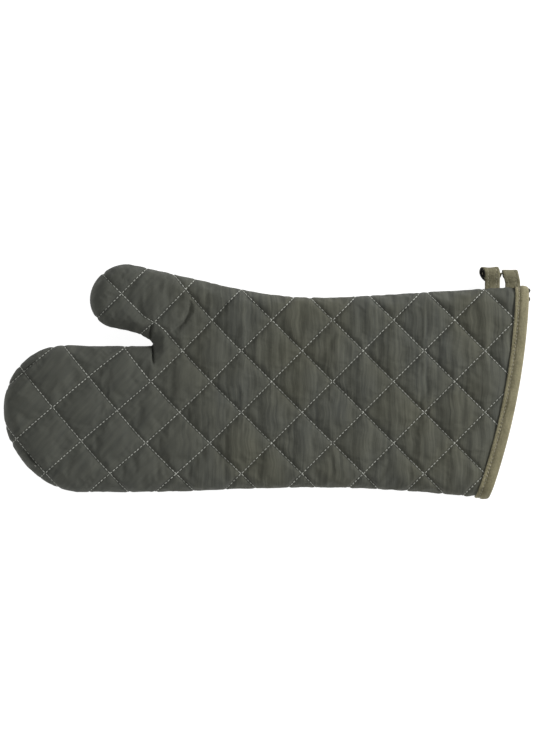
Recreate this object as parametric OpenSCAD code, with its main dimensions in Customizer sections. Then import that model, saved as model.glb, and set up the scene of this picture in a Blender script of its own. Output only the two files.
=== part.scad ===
// Long quilted oven mitt, lying flat with its palm side up.
// Each panel is a sandwich of face fabric, wadding and lining. The two panels meet at a side seam that
// runs round the fingers, the crotch and the thumb, and a folded binding finishes the open cuff.
// +X runs from the finger tips to the cuff, +Y towards the thumb side, and +Z up out of the palm.

/* [Outline] */
// Length from the finger tips to the outer edge of the cuff binding
mitt_len = 432; // [370:1:520]
// Length of the finger part, from its tips to the thumb crotch
finger_len = 123; // [105:1:148]
// Width across the fingers
finger_w = 121; // [102:1:145]
// How far the middle of the fingers lies below the middle of the wrist
finger_drop = 21.8; // [15:0.1:27]
// How far the finger tips lean back towards the thumb side
tip_lift = 8; // [0:0.5:12]
// Length of the rounded end of the fingers
tip_round = 60; // [45:1:75]
// Distance from the thumb crotch to the narrowest part of the wrist
wrist_at = 132; // [100:1:165]
// Width at the wrist
wrist_w = 157; // [132:1:188]
// Width of the cuff along its mouth
cuff_w = 175; // [146:1:210]
// How much shorter the mitt is on the little-finger side of the cuff
cuff_slant = 33; // [0:1:40]
// How far the middle of the mouth bows out past a straight cut
cuff_bow = 7; // [0:0.5:10]

/* [Thumb] */
// Length of the thumb, from the crotch to its tip
thumb_len = 52; // [43:0.5:62]
// Width of the thumb
thumb_w = 54.4; // [46:0.1:65]
// How far the thumb's tip leans back towards the fingers
thumb_lean = 3; // [0:0.5:5]
// Angle that the thumb spreads away from the fingers
thumb_angle = 12; // [5:1:20]
// Gap between thumb and fingers at the crotch
crotch_gap = 8; // [6:0.5:12]
// Radius of the crotch
crotch_r = 2.4; // [1.5:0.1:3]

/* [Padding] */
// Thickness of the face fabric
face_t = 0.8; // [0.5:0.1:1.2]
// Thickness of the wadding
wadding_t = 4.2; // [3:0.1:5.2]
// Thickness of the lining
lining_t = 0.8; // [0.4:0.1:1.2]
// Free height inside, between the two linings
hand_gap = 14.4; // [10:0.1:20]
// Height of the side seam above the table
seam_z = 10; // [8.5:0.1:13]
// How far in from the seam the panels' rounded edges reach
edge_r = 14; // [12:0.5:16]

/* [Quilting] */
// Width of a quilted diamond, corner to corner
quilt_pitch = 50; // [35:1:60]
// Angle that the diamonds lean over in the fingers
quilt_lean = 4.5; // [0:0.5:6]
// Width of a line of quilting thread
thread_w = 0.9; // [0.6:0.1:1.4]

/* [Cuff binding] */
// Width of the binding on each side of the edge
binding_w = 10; // [7:0.5:13]
// Thickness of the binding, folded edge included
binding_t = 1; // [0.6:0.1:1.4]
// Play between the binding and the panels it wraps
binding_fit = 0.3; // [0.2:0.05:0.5]
// Distance of the binding's stitches from the mouth
binding_stitch_at = 6.5; // [4:0.5:8]

/* [Hanging loop] */
// Width of the loop's tape
tape_w = 12.4; // [10:0.1:14]
// Thickness of the loop's folded tape
tape_t = 1.6; // [1:0.1:2]
// Distance of the loop's middle from the cuff corner
loop_at = 19.6; // [16:0.1:30]
// Gap between the loop's two legs, middle to middle
loop_spread = 16.8; // [15:0.1:19]
// Distance of the loop's hinge line from the side seam
loop_hinge_out = 2.4; // [2:0.1:3]

/* [Folding] */
// How far the fingers fold up over the palm
finger_fold = 50; // [30:1:60]
// How far the thumb folds up over the palm
thumb_fold = 45; // [30:1:55]
// Distance of the fingers' fold line from the crotch
finger_fold_at = 22; // [18:1:30]
// Distance of the thumb's fold line from the crotch
thumb_fold_at = 10; // [8:1:14]
// Play between the solids that meet at a fold line
fold_gap = 0.4; // [0.2:0.1:0.8]

/* [Hidden] */
LAYERS = ["face_fabric", "wadding", "lining"];
SECTIONS = ["hand", "fingers", "thumb"];
PANELS = ["palm", "back"];
LAYER_NODES = [for (p = PANELS) for (l = LAYERS) for (s = SECTIONS) str(p, "_", l, "_", s)];
QUILT_NODES = [for (p = PANELS) for (s = SECTIONS) str(p, "_quilting_thread_", s)];
SEAM_NODES = [for (s = SECTIONS) str("side_seam_thread_", s)];
TRIM_NODES = ["cuff_binding", "binding_thread", "hanging_loop", "loop_thread", "hanging_loop_ends"];

RING_STEPS = 4;                                  // facets across a panel's rounded edge
wall = face_t + wadding_t + lining_t;            // thickness of one quilted panel
palm_h = 2 * wall + hand_gap - seam_z;           // rise of the palm panel above the seam
back_h = seam_z;                                 // drop of the back panel below the seam
depths = [0, face_t, face_t + wadding_t, wall];  // layer boundaries, counted in from the outside
binding_out = binding_fit + binding_t;           // how far the binding pinches the panels

// ---- vector helpers ----
function unit(v) = v / norm(v);
function left_of(v) = [-v[1], v[0]];
function flat(lists) = [for (l = lists) for (v = l) v];
function mix(a, b, t) = a * (1 - t) + b * t;
function flipped(faces) = [for (f = faces) [for (i = [len(f) - 1 : -1 : 0]) f[i]]];
function bezier(a, b, c, d, n) = [for (i = [0 : n]) let (t = i / n)
    a * pow(1 - t, 3) + b * 3 * t * pow(1 - t, 2) + c * 3 * t * t * (1 - t) + d * pow(t, 3)];

// ---- outline, drawn with the crotch at x = 0 and the middle of the wrist at y = 0 ----
finger_y = -finger_drop;
crotch_y = finger_y + finger_w / 2;
tip_x = -finger_len;
cuff_x = mitt_len - finger_len - binding_out;
mouth_thumb_side = [cuff_x, cuff_w / 2];
mouth_little_side = [cuff_x - cuff_slant, -cuff_w / 2];
wrist_thumb_side = [wrist_at, wrist_w / 2];
wrist_little_side = [wrist_at, -wrist_w / 2];

thumb_along = [-cos(thumb_angle), sin(thumb_angle)];
thumb_across = [sin(thumb_angle), cos(thumb_angle)];
thumb_root = [0, crotch_y + crotch_gap + thumb_w / 2];
function thumb_point(along, across) = thumb_root + along * thumb_along + across * thumb_across;

thumb_cut_top = thumb_point(thumb_fold_at, thumb_w / 2);
thumb_cut_under = thumb_point(thumb_fold_at, -thumb_w / 2);
finger_cut_top = [-finger_fold_at, crotch_y];
finger_cut_low = [-finger_fold_at, finger_y - finger_w / 2];

// the rounded end of the fingers, leaning a little towards the thumb side
finger_chain = concat(
    [finger_cut_top],
    [for (a = [90 : 15 : 270])
        [tip_x + tip_round * (1 + cos(a)), finger_y + finger_w / 2 * sin(a) - tip_lift * cos(a)]],
    [finger_cut_low]);

// the rounded end of the thumb, leaning a little towards the fingers
thumb_round = thumb_w / 2;
thumb_chain = concat(
    [thumb_cut_top],
    [for (a = [90 : 20 : 270])
        thumb_point(thumb_len - thumb_round * (1 + cos(a)), thumb_round * sin(a) + thumb_lean * cos(a))],
    [thumb_cut_under]);

crotch_middle = [-crotch_r, crotch_y + crotch_r];
crotch_arc = [for (a = [60 : -30 : -90]) crotch_middle + crotch_r * [cos(a), sin(a)]];
crotch_chain = concat(
    [thumb_cut_under, mix(thumb_cut_under, crotch_arc[0], 0.55)],
    crotch_arc,
    [mix(crotch_arc[5], finger_cut_top, 0.45), finger_cut_top]);

// the long edges: each is two gentle curves that meet, level, at the wrist
little_reach = mouth_little_side[0] - wrist_at;
thumb_reach = cuff_x - wrist_at;
palm_reach = wrist_at + finger_fold_at;
pinch_to = binding_w + 1;   // the panels are pinched thinner by the binding up to here,
pinch_end = binding_w + 6;  // and have their full thickness from here on, measured from the mouth
little_back = [-0.27, 0.03];
thumb_back = [-0.33, -0.013];
little_edge = concat(
    bezier(finger_cut_low, finger_cut_low + [0.4 * palm_reach, 0],
        wrist_little_side - [0.4 * palm_reach, 0], wrist_little_side, 7),
    [for (i = [1 : 5]) bezier(wrist_little_side, wrist_little_side + [0.38 * little_reach, 0],
        mouth_little_side + little_reach * little_back, mouth_little_side, 7)[i]],
    [for (back = [pinch_end, pinch_to, 0]) mouth_little_side + back * unit(little_back)]);
thumb_edge = concat(
    [for (back = [0, pinch_to, pinch_end]) mouth_thumb_side + back * unit(thumb_back)],
    [for (i = [2 : 7]) bezier(mouth_thumb_side, mouth_thumb_side + thumb_reach * thumb_back,
        wrist_thumb_side + [0.22 * thumb_reach, 0], wrist_thumb_side, 7)[i]],
    [for (i = [1 : 8]) bezier(wrist_thumb_side, wrist_thumb_side - [0.33 * wrist_at, 0],
        thumb_cut_top - 0.33 * wrist_at * thumb_along, thumb_cut_top, 8)[i]]);

// ---- the mouth: a bowed line between the two cuff corners, measured from the little-finger side ----
mouth_len = norm(mouth_thumb_side - mouth_little_side);
mouth_dir = unit(mouth_thumb_side - mouth_little_side);
mouth_out = -left_of(mouth_dir);
function bowed(s) = mouth_little_side + s * mouth_dir
    + 4 * cuff_bow * (s / mouth_len) * (1 - s / mouth_len) * mouth_out;
function mouth_at(s) =
    s < edge_r ? mix(mouth_little_side, bowed(edge_r), s / edge_r)
    : s > mouth_len - edge_r ? mix(mouth_thumb_side, bowed(mouth_len - edge_r), (mouth_len - s) / edge_r)
    : bowed(s);
// a point at a distance back from the mouth, or, if the distance is negative, outside it
edge_back_little = unit(little_back);
edge_back_thumb = unit(thumb_back);
function back_from_mouth(s, back) = back < 0 ? mouth_at(s) - back * mouth_out
    : mouth_at(s) + back * mix(edge_back_little, edge_back_thumb, s / mouth_len);
MOUTH_STEPS = 6;
mouth_mids = [for (j = [1 : MOUTH_STEPS - 1]) mix(edge_r, mouth_len - edge_r, j / MOUTH_STEPS)];

// ---- fold lines: a point, the direction into the hand, and half the fold ----
finger_hinge = [finger_cut_low, [1, 0], finger_fold / 2];
thumb_hinge = [thumb_cut_under, -thumb_along, thumb_fold / 2];

// A section is its chains of seam points. Each chain has its points, the inward directions at its two
// ends, the fold line that it starts and ends at (or none), and on which side of that line it lies.
finger_ends = unit(finger_cut_low - finger_cut_top);
thumb_ends = unit(thumb_cut_under - thumb_cut_top);
little_in = unit(bowed(edge_r) - mouth_little_side);
thumb_in = unit(bowed(mouth_len - edge_r) - mouth_thumb_side);
HAND = [
    [little_edge, -finger_ends, little_in, finger_hinge, undef, 1],
    [thumb_edge, thumb_in, thumb_ends, undef, thumb_hinge, 1],
    [crotch_chain, -thumb_ends, finger_ends, thumb_hinge, finger_hinge, 1]];
FINGERS = [[finger_chain, finger_ends, -finger_ends, finger_hinge, finger_hinge, -1]];
THUMB = [[thumb_chain, thumb_ends, -thumb_ends, thumb_hinge, thumb_hinge, -1]];
function chains_of(s) = s == "hand" ? HAND : s == "fingers" ? FINGERS : THUMB;

// where the bounding box puts the origin
outline_xy = flat([for (s = SECTIONS) for (c = chains_of(s)) c[0]]);
low_y = min([for (p = outline_xy) p[1]]);
high_y = max([for (p = outline_xy) p[1]]);
to_origin = [-(tip_x + mitt_len / 2), -(low_y + high_y) / 2, 0];

// ---- the rounded edge: concentric quarter ellipses, one for each depth in from the outside ----
function ring_angle(k) = 90 * k / RING_STEPS;
function ring_inset(depth, k) = edge_r - (edge_r - depth) * cos(ring_angle(k));
function ring_z(depth, k, rise) =
    seam_z + sign(rise) * (abs(rise) - depth) * sin(ring_angle(k));

// the three points of a chain nearest to the mouth lie under the binding or just beside it
function from_mouth(chain, i) =
    is_undef(chain[3]) && i < 3 ? i : is_undef(chain[4]) && i > len(chain[0]) - 4 ? len(chain[0]) - 1 - i
    : undef;
function inward(chain, i) = let (p = chain[0], n = len(p), near = !is_undef(from_mouth(chain, i)))
    i == 0 || (near && i < 3) ? chain[1] : i == n - 1 || near ? chain[2]
    : left_of(unit(p[i + 1] - p[i - 1]));
// the outer layers give way under the binding, which so lies level with the panels beside it
function pinched(depth, row) = depth + (!is_undef(row) && row < 2 && depth <= face_t ? binding_out : 0);
// moves a point back from a fold line, by more the higher it is, so that the fold can close
function set_back(p, z, hinge, side) = is_undef(hinge) ? p :
    let (into = side * hinge[1], need = fold_gap / 2 + max(0, z - seam_z) * tan(hinge[2]))
    p + into * max(0, need - (p - hinge[0]) * into);
function chain_point(chain, i, k, depth, rise) =
    let (at = pinched(depth, from_mouth(chain, i)), z = ring_z(at, k, rise),
        hinge = i < len(chain[0]) / 2 ? chain[3] : chain[4],
        p = set_back(chain[0][i] + ring_inset(at, k) * inward(chain, i), z, hinge, chain[5]))
    [p[0], p[1], z];
function chain_points(chain, depth, rise) = [for (i = [0 : len(chain[0]) - 1])
    for (k = [0 : RING_STEPS]) chain_point(chain, i, k, depth, rise)];

// the surface of a panel at one depth: its chains' ring points, then three rows of points across the
// mouth, at the mouth itself and at the two distances from it where the pinch ends
function has_mouth(chains) = len(chains) == 3;
function sheet_points(chains, depth, rise) = concat(
    flat([for (c = chains) chain_points(c, depth, rise)]),
    has_mouth(chains) ? [for (row = [0 : 2]) for (s = mouth_mids)
        let (p = back_from_mouth(s, [0, pinch_to, pinch_end][row]))
            [p[0], p[1], ring_z(pinched(depth, row), RING_STEPS, rise)]] : []);

ROW = RING_STEPS + 1;
function chain_start(chains, c) = c == 0 ? 0 : chain_start(chains, c - 1) + len(chains[c - 1][0]) * ROW;
function mid_indices(chains, c, row) = has_mouth(chains) && c == 0
    ? [for (j = [0 : MOUTH_STEPS - 2]) chain_start(chains, 3) + row * (MOUTH_STEPS - 1) + j] : [];
function cap_loop(chains) = flat([for (c = [0 : len(chains) - 1])
    let (last = len(chains[c][0]) - 1, first = has_mouth(chains) && c == 1 ? 2 : 0,
        final = has_mouth(chains) && c == 0 ? last - 2 : last) concat(
        [for (i = [first : final]) chain_start(chains, c) + i * ROW + RING_STEPS],
        mid_indices(chains, c, 2))]);
function mouth_row(chains, row) = concat(
    [chain_start(chains, 0) + (len(chains[0][0]) - 1 - row) * ROW + RING_STEPS],
    mid_indices(chains, 0, row),
    [chain_start(chains, 1) + row * ROW + RING_STEPS]);
function mouth_faces(chains) = has_mouth(chains) ? [for (row = [0, 1])
    let (near = mouth_row(chains, row), far = mouth_row(chains, row + 1)) for (j = [0 : len(near) - 2])
        for (f = [[near[j], near[j + 1], far[j + 1]], [near[j], far[j + 1], far[j]]]) f] : [];
function rim_loop(chains) = flat([for (c = [0 : len(chains) - 1])
    let (a = chain_start(chains, c), last = len(chains[c][0]) - 1) concat(
        [for (k = [RING_STEPS : -1 : 1]) a + k],
        [for (i = [0 : last]) a + i * ROW],
        [for (k = [1 : RING_STEPS]) a + last * ROW + k],
        mid_indices(chains, c, 0))]);
function ring_faces(chains) = [for (c = [0 : len(chains) - 1]) for (i = [0 : len(chains[c][0]) - 2])
    for (k = [0 : RING_STEPS - 1]) let (a = chain_start(chains, c) + i * ROW + k)
        for (f = [[a, a + ROW, a + ROW + 1], [a, a + ROW + 1, a + 1]]) f];
function shifted(faces, by) = [for (f = faces) [for (i = f) i + by]];

// ---- one layer of one panel in one section, between two depths ----
module layer(chains, outer, inner, rise) {
    near = sheet_points(chains, outer, rise);
    far = sheet_points(chains, inner, rise);
    count = len(near);
    skin = concat(ring_faces(chains), mouth_faces(chains), [cap_loop(chains)]);
    rim = rim_loop(chains);
    walls = [for (j = [0 : len(rim) - 1]) let (a = rim[j], b = rim[(j + 1) % len(rim)])
        for (f = [[a, a + count, b + count], [a, b + count, b]]) f];
    faces = concat(skin, shifted(flipped(skin), count), walls);
    polyhedron(concat(near, far), rise > 0 ? flipped(faces) : faces);
}

function rise_of(panel) = panel == "palm" ? palm_h : -back_h;
function layer_colour(l) = l == 0 ? [0.30, 0.31, 0.28] : l == 1 ? [0.90, 0.88, 0.82] : [0.55, 0.54, 0.47];

module panel_layer(panel, l, s) {
    color(layer_colour(l)) layer(chains_of(s), depths[l], depths[l + 1], rise_of(panel));
}

// ---- quilting thread: a lattice of stitch lines let into the face fabric ----
quilt_gap = quilt_pitch / sqrt(2);
quilt_node = [196, 9];  // a crossing of two lines, near the middle of the cuff
quilt_turn = [-finger_fold_at, finger_y];
thread_in = 0.5;        // how deep the lines are let into the fabric
thread_proud = 0.2;     // how far they stand above the palm

module quilt_lines() {
    reach = 2 * mitt_len;
    count = ceil(mitt_len / quilt_gap);
    for (turn = [45, -45]) for (i = [-count : count])
        translate(quilt_node) rotate(turn) translate([-reach / 2, i * quilt_gap - thread_w / 2])
            square([reach, thread_w]);
}

module quilting_thread(panel, s) {
    chains = chains_of(s);
    points = sheet_points(chains, 0, rise_of(panel));
    proud = panel == "palm" ? thread_proud : 0;
    low = panel == "palm" ? seam_z + palm_h - thread_in : 0;
    color([0.86, 0.87, 0.82]) translate([0, 0, low]) linear_extrude(thread_in + proud) intersection() {
        polygon([for (i = cap_loop(chains)) [points[i][0], points[i][1]]]);
        if (s == "fingers") translate(quilt_turn) rotate(-quilt_lean) translate(-quilt_turn) quilt_lines();
        else quilt_lines();
    }
}

// ---- side seam thread: it holds the two panels together just inside the linings ----
seam_thread_w = 0.9;
seam_thread_h = 0.8;
seam_thread_in = 0.35;  // play between the thread and the linings

module side_seam_thread(s) {
    color([0.25, 0.26, 0.24]) translate([0, 0, seam_z - seam_thread_h / 2]) linear_extrude(seam_thread_h)
        for (c = chains_of(s)) polygon(concat(
            seam_line(c, wall + seam_thread_in),
            flipped([seam_line(c, wall + seam_thread_in + seam_thread_w)])[0]));
}
// a seam line stops at a fold, and beside the binding
function seam_line(c, inset) = let (last = len(c[0]) - 1)
    [for (i = [is_undef(c[3]) ? 1 : 0 : is_undef(c[4]) ? last - 1 : last])
        set_back(c[0][i] + inset * inward(c, i), seam_z, i < last / 2 ? c[3] : c[4], c[5])];

// ---- loops that run all the way round the mouth, at a depth in the panel and a distance back ----
function mouth_half(depth, rise) = concat(
    [for (k = [0 : RING_STEPS]) [ring_inset(depth, k), ring_z(depth, k, rise)]],
    [for (s = mouth_mids) [s, ring_z(depth, RING_STEPS, rise)]],
    [for (k = [RING_STEPS : -1 : 0]) [mouth_len - ring_inset(depth, k), ring_z(depth, k, rise)]]);
function mouth_ring(depth, back) =
    let (over = mouth_half(depth, palm_h), under = mouth_half(depth, -back_h),
        around = concat(over, [for (i = [len(under) - 2 : -1 : 1]) under[i]]))
    [for (q = around) let (p = back_from_mouth(q[0], back)) [p[0], p[1], q[1]]];

// a closed band round the mouth whose cross-section is a list of [depth, back] corners
module mouth_band(profile) {
    rings = [for (q = profile) mouth_ring(q[0], q[1])];
    n = len(rings[0]);
    m = len(profile);
    faces = [for (p = [0 : m - 1]) for (j = [0 : n - 1])
        let (a = p * n + j, b = p * n + (j + 1) % n, c = ((p + 1) % m) * n + (j + 1) % n,
            d = ((p + 1) % m) * n + j)
        for (f = [[a, b, c], [a, c, d]]) f];
    polyhedron(flat(rings), faces);
}

module cuff_binding() {
    inside = wall + binding_fit;
    color([0.47, 0.45, 0.38]) mouth_band([
        [0, binding_w], [0, -binding_out],
        [inside + binding_t, -binding_out], [inside + binding_t, binding_w],
        [inside, binding_w], [inside, -binding_fit],
        [binding_t, -binding_fit], [binding_t, binding_w]]);
}

module binding_thread() {
    low = binding_stitch_at - 0.4;
    high = binding_stitch_at + 0.4;
    color([0.62, 0.60, 0.50])
        mouth_band([[binding_t / 2, high], [0, high], [0, low], [binding_t / 2, low]]);
}

// ---- hanging loop: one tape, both ends in the side seam, rolled over and back on itself ----
loop_x = cuff_x - loop_at;
edge_slope = (thumb_edge[0][1] - thumb_edge[1][1]) / (thumb_edge[0][0] - thumb_edge[1][0]);
edge_y = mouth_thumb_side[1] - loop_at * edge_slope;
loop_base = [loop_x, edge_y + loop_hinge_out, seam_z];
leg = loop_spread / 2;
tape_start = tape_t / 2 + 0.6;  // far enough from the hinge line to turn round its rolled edge
// The middle line of the tape, from one leg round the bight to the other, and its width direction.
// It rises from the seam, rolls over, makes a U-turn on edge behind the legs and comes back the same way.
tape_path = [
    [[-leg, tape_start, 0], [1, 0, 0]],
    [[-leg, 6, 4], [1, 0, 0]],
    [[-leg - 0.4, 10.6, 7.4], [1, 0, 0]],
    [[-leg - 1.4, 12, 7.6], [1, 0, 0.1]],
    [[-leg - 2.6, 12.2, 4.5], [1, 0, 0.2]],
    [[-leg - 0.8, 11.6, -0.4], [0.75, 0, 0.66]],
    [[-3.6, 11.2, -2.4], [0, 0, 1]],
    [[leg - 6.2, 11.2, -0.4], [-0.75, 0, 0.66]],
    [[leg - 3.6, 11, 4.2], [-1, 0, 0.2]],
    [[leg - 2, 10.2, 6.6], [-1, 0, 0.1]],
    [[leg - 0.8, 8.8, 6.6], [-1, 0, 0]],
    [[leg, 5, 3.6], [-1, 0, 0]],
    [[leg, tape_start, 0], [-1, 0, 0]]];
function turned(list, i, j) = list[max(0, min(len(list) - 1, i))][j];
function through(list, i, j, t) = let (a = turned(list, i - 1, j), b = turned(list, i, j),
    c = turned(list, i + 1, j), d = turned(list, i + 2, j))
    0.5 * (2 * b + (c - a) * t + (2 * a - 5 * b + 4 * c - d) * t * t + (3 * b - a - 3 * c + d) * pow(t, 3));
TAPE_STEPS = 3;
tape_line = concat(
    [for (i = [0 : len(tape_path) - 2]) for (t = [0 : TAPE_STEPS - 1])
        [through(tape_path, i, 0, t / TAPE_STEPS), through(tape_path, i, 1, t / TAPE_STEPS)]],
    [tape_path[len(tape_path) - 1]]);

// a strip along the tape: across from its middle, and out from its middle plane
module tape_strip(across_from, across_to, out_from, out_to) {
    n = len(tape_line);
    rings = [for (i = [0 : n - 1])
        let (along = unit(tape_line[min(n - 1, i + 1)][0] - tape_line[max(0, i - 1)][0]),
            out = unit(cross(tape_line[i][1], along)), wide = cross(along, out))
        for (q = [[across_from, out_from], [across_to, out_from], [across_to, out_to], [across_from, out_to]])
            tape_line[i][0] + q[0] * wide + q[1] * out];
    sides = [for (i = [0 : n - 2]) for (q = [0 : 3]) let (a = 4 * i + q, b = 4 * i + (q + 1) % 4)
        for (f = [[a, b, b + 4], [a, b + 4, a + 4]]) f];
    last = 4 * (n - 1);
    translate(loop_base) polyhedron(rings,
        concat(sides, [[3, 2, 1, 0], [last, last + 1, last + 2, last + 3]]));
}

module hanging_loop() {
    color([0.43, 0.42, 0.35]) tape_strip(-tape_w / 2, tape_w / 2, -tape_t / 2, tape_t / 2);
}

tape_stitch_at = 3.4;  // distance of the tape's own stitching from its middle
module loop_thread() {
    color([0.55, 0.54, 0.46])
        tape_strip(-tape_stitch_at - 0.3, -tape_stitch_at + 0.3, tape_t / 2 - 0.2, tape_t / 2 + 0.2);
}

// the two ends of the tape: each has a tongue that is caught in the side seam between the panels,
// and a rolled outer edge that the loop turns round
tongue_in = 4;
clear_of_edge = 0.9;
module hanging_loop_ends() {
    knuckle = loop_base[1];
    color([0.43, 0.42, 0.35]) for (side = [-1, 1]) translate([loop_x + side * leg - tape_w / 2, 0, seam_z]) {
        translate([0, edge_y - tongue_in, -tape_t / 2]) cube([tape_w / 2, tongue_in + 1.5, tape_t]);
        translate([0, edge_y + clear_of_edge, -tape_t / 2])
            cube([tape_w, knuckle - edge_y - clear_of_edge, tape_t]);
        translate([0, knuckle, 0]) rotate([0, 90, 0]) cylinder(r = tape_t / 2, h = tape_w, $fn = 32);
    }
}

// ---- the nodes ----
translate(to_origin) {
    for (p = PANELS) for (l = [0 : 2]) for (s = SECTIONS)
        panel_layer(p, l, s);
    for (p = PANELS) for (s = SECTIONS)
        quilting_thread(p, s);
    for (s = SECTIONS) side_seam_thread(s);
    cuff_binding();
    binding_thread();
    hanging_loop();
    loop_thread();
    hanging_loop_ends();
}
echo(size = [mitt_len, high_y - low_y, seam_z + palm_h], to_origin = to_origin, loop_base = loop_base + to_origin,
    finger_hinge = finger_hinge[0] + [to_origin[0], to_origin[1]],
    thumb_hinge = thumb_hinge[0] + [to_origin[0], to_origin[1]], crotch = crotch_y + to_origin[1]);
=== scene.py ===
# %% [markdown]
# # A long quilted oven mitt
# The mitt lies flat with its palm up. Two quilted panels, each a sandwich of twill, wadding and lining,
# are joined by a side seam that runs round the fingers, the crotch and the thumb. A folded khaki tape
# binds the open cuff, and a short loop of the same tape hangs out of the seam. The CAD model gives every
# size and place; this file gives the cloth its shape, its stitches and its finish.

# %% Load the frame
import math

import bpy
import numpy as np
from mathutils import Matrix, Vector, noise
from mathutils.bvhtree import BVHTree
from mathutils.geometry import delaunay_2d_cdt


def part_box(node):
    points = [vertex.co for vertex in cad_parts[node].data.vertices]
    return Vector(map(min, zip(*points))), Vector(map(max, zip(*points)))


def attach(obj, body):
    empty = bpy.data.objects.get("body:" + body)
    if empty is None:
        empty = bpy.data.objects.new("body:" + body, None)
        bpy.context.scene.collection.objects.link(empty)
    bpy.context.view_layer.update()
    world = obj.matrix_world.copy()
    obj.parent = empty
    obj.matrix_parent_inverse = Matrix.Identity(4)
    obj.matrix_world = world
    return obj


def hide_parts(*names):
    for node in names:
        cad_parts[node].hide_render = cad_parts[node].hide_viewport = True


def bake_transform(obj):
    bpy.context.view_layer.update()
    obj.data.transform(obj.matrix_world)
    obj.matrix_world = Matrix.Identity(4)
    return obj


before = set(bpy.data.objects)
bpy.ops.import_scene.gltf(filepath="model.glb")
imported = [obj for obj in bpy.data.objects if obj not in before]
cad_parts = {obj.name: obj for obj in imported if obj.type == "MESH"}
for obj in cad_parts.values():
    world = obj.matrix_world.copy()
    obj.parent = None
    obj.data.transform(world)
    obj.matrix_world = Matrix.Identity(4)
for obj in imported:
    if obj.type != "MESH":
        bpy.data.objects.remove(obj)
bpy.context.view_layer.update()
mm = 0.001

# %% [markdown]
# ## Camera and light
# The mitt is seen from straight above, from far away with a long lens, so that nothing looks nearer than
# anything else. The strongest light comes from the cuff and thumb side, low enough to rake across the
# quilting. A larger and weaker light from the other side fills the shadows. The camera comes first because
# every later choice is judged through it.

# %% Camera
camera_data = bpy.data.cameras.new("camera")
camera = bpy.data.objects.new("camera", camera_data)
bpy.context.scene.collection.objects.link(camera)
bpy.context.scene.camera = camera
view_height = 0.6213  # what the view covers at the height of the mitt, in metres
camera_height = 2.6
camera_data.lens = camera_data.sensor_width * camera_height / view_height
camera.location = (0.0004, 0.0037, camera_height + 10 * mm)
camera_data.clip_end = 20
print("lens, mm:", round(camera_data.lens, 1))


# %% Lights and floor
def area_light(name, size, power, place, target=(0, 0, 0)):
    """A square soft light that looks at a point."""
    light = bpy.data.lights.new(name, "AREA")
    light.size, light.energy = size, power
    holder = bpy.data.objects.new(name, light)
    bpy.context.scene.collection.objects.link(holder)
    holder.location = place
    holder.rotation_euler = (Vector(target) - Vector(place)).to_track_quat("-Z", "Y").to_euler()


area_light("raking_light", 0.6, 26, (1.45, 0.60, 0.85))
area_light("fill_light", 1.6, 5.5, (-0.9, -1.2, 1.3))
world = bpy.data.worlds.new("studio")
bpy.context.scene.world = world
world.use_nodes = True
world.node_tree.nodes["Background"].inputs["Color"].default_value = (1, 1, 1, 1)
world.node_tree.nodes["Background"].inputs["Strength"].default_value = 0.32
bpy.context.scene.view_settings.view_transform = "Standard"


def select_none():
    """Leaves nothing selected, so that an operator acts only on what comes next."""
    if bpy.context.object and bpy.context.object.mode != "OBJECT":
        bpy.ops.object.mode_set(mode="OBJECT")
    bpy.ops.object.select_all(action="DESELECT")


select_none()
bpy.ops.mesh.primitive_plane_add(size=8, location=(0, 0, -0.3 * mm))
floor = bpy.context.object
floor.name = "floor"

# %% [markdown]
# ## The cut of the panels
# Both panels have the same outline. It is drawn here in millimetres as the pattern maker would: rounded
# finger tips, a straight-sided finger part, a small round crotch, a thumb that leans 12 degrees away, two
# long edges that narrow at the wrist, and a mouth that bows out a little. The same numbers shape the CAD
# solids, so the cloth lies exactly where they do.

# %% Outline
FACE_T, WADDING_T, LINING_T = 0.8, 4.2, 0.8
WALL = FACE_T + WADDING_T + LINING_T
SEAM_Z, EDGE_R = 10.0, 14.0  # the seam's height, and how far in from it the cloth starts to turn down
HALF_HEIGHT = {1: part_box("palm_face_fabric_hand")[1].z / mm - SEAM_Z, -1: SEAM_Z}  # palm and back
SHIFT = np.array([-93.0, -9.08091])  # from the pattern's own origin, by the crotch, to the frame's
CUFF_X, CUFF_W, CUFF_SLANT, CUFF_BOW = 307.7, 175.0, 33.0, 7.0
WRIST_AT, WRIST_W = 132.0, 157.0
FINGER_LEN, FINGER_W, FINGER_Y = 123.0, 121.0, -21.8
TIP_ROUND, TIP_LIFT = 60.0, 8.0
THUMB_LEN, THUMB_W, THUMB_ANGLE, THUMB_LEAN = 52.0, 54.4, math.radians(12), 3.0
CROTCH_R, CROTCH_GAP = 2.4, 8.0
FINGER_FOLD_AT, THUMB_FOLD_AT = 22.0, 10.0
LITTLE_BACK, THUMB_BACK = np.array([-0.27, 0.03]), np.array([-0.33, -0.013])

crotch_y = FINGER_Y + FINGER_W / 2  # the fingers' edge on the thumb side
thumb_along = np.array([-math.cos(THUMB_ANGLE), math.sin(THUMB_ANGLE)])
thumb_across = np.array([math.sin(THUMB_ANGLE), math.cos(THUMB_ANGLE)])
thumb_root = np.array([0, crotch_y + CROTCH_GAP + THUMB_W / 2])


def thumb_point(along, across):
    """A place on the thumb, measured along it and across it from the middle of its root."""
    return thumb_root + along * thumb_along + across * thumb_across


def bezier(a, b, c, d):
    """A smooth curve from a to d that b and c pull at."""
    t = np.linspace(0, 1, 61)[:, None]
    return a * (1 - t) ** 3 + 3 * b * t * (1 - t) ** 2 + 3 * c * t**2 * (1 - t) + d * t**3


def run_along(path):
    """The distance from a path's start to each of its points."""
    return np.concatenate([[0], np.cumsum(np.linalg.norm(np.diff(path, axis=0), axis=1))])


def places_at(at, run, values):
    """The values of a path's points, interpolated at some distances along its run."""
    return np.stack([np.interp(at, run, values[:, k]) for k in range(values.shape[1])], 1)


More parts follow.
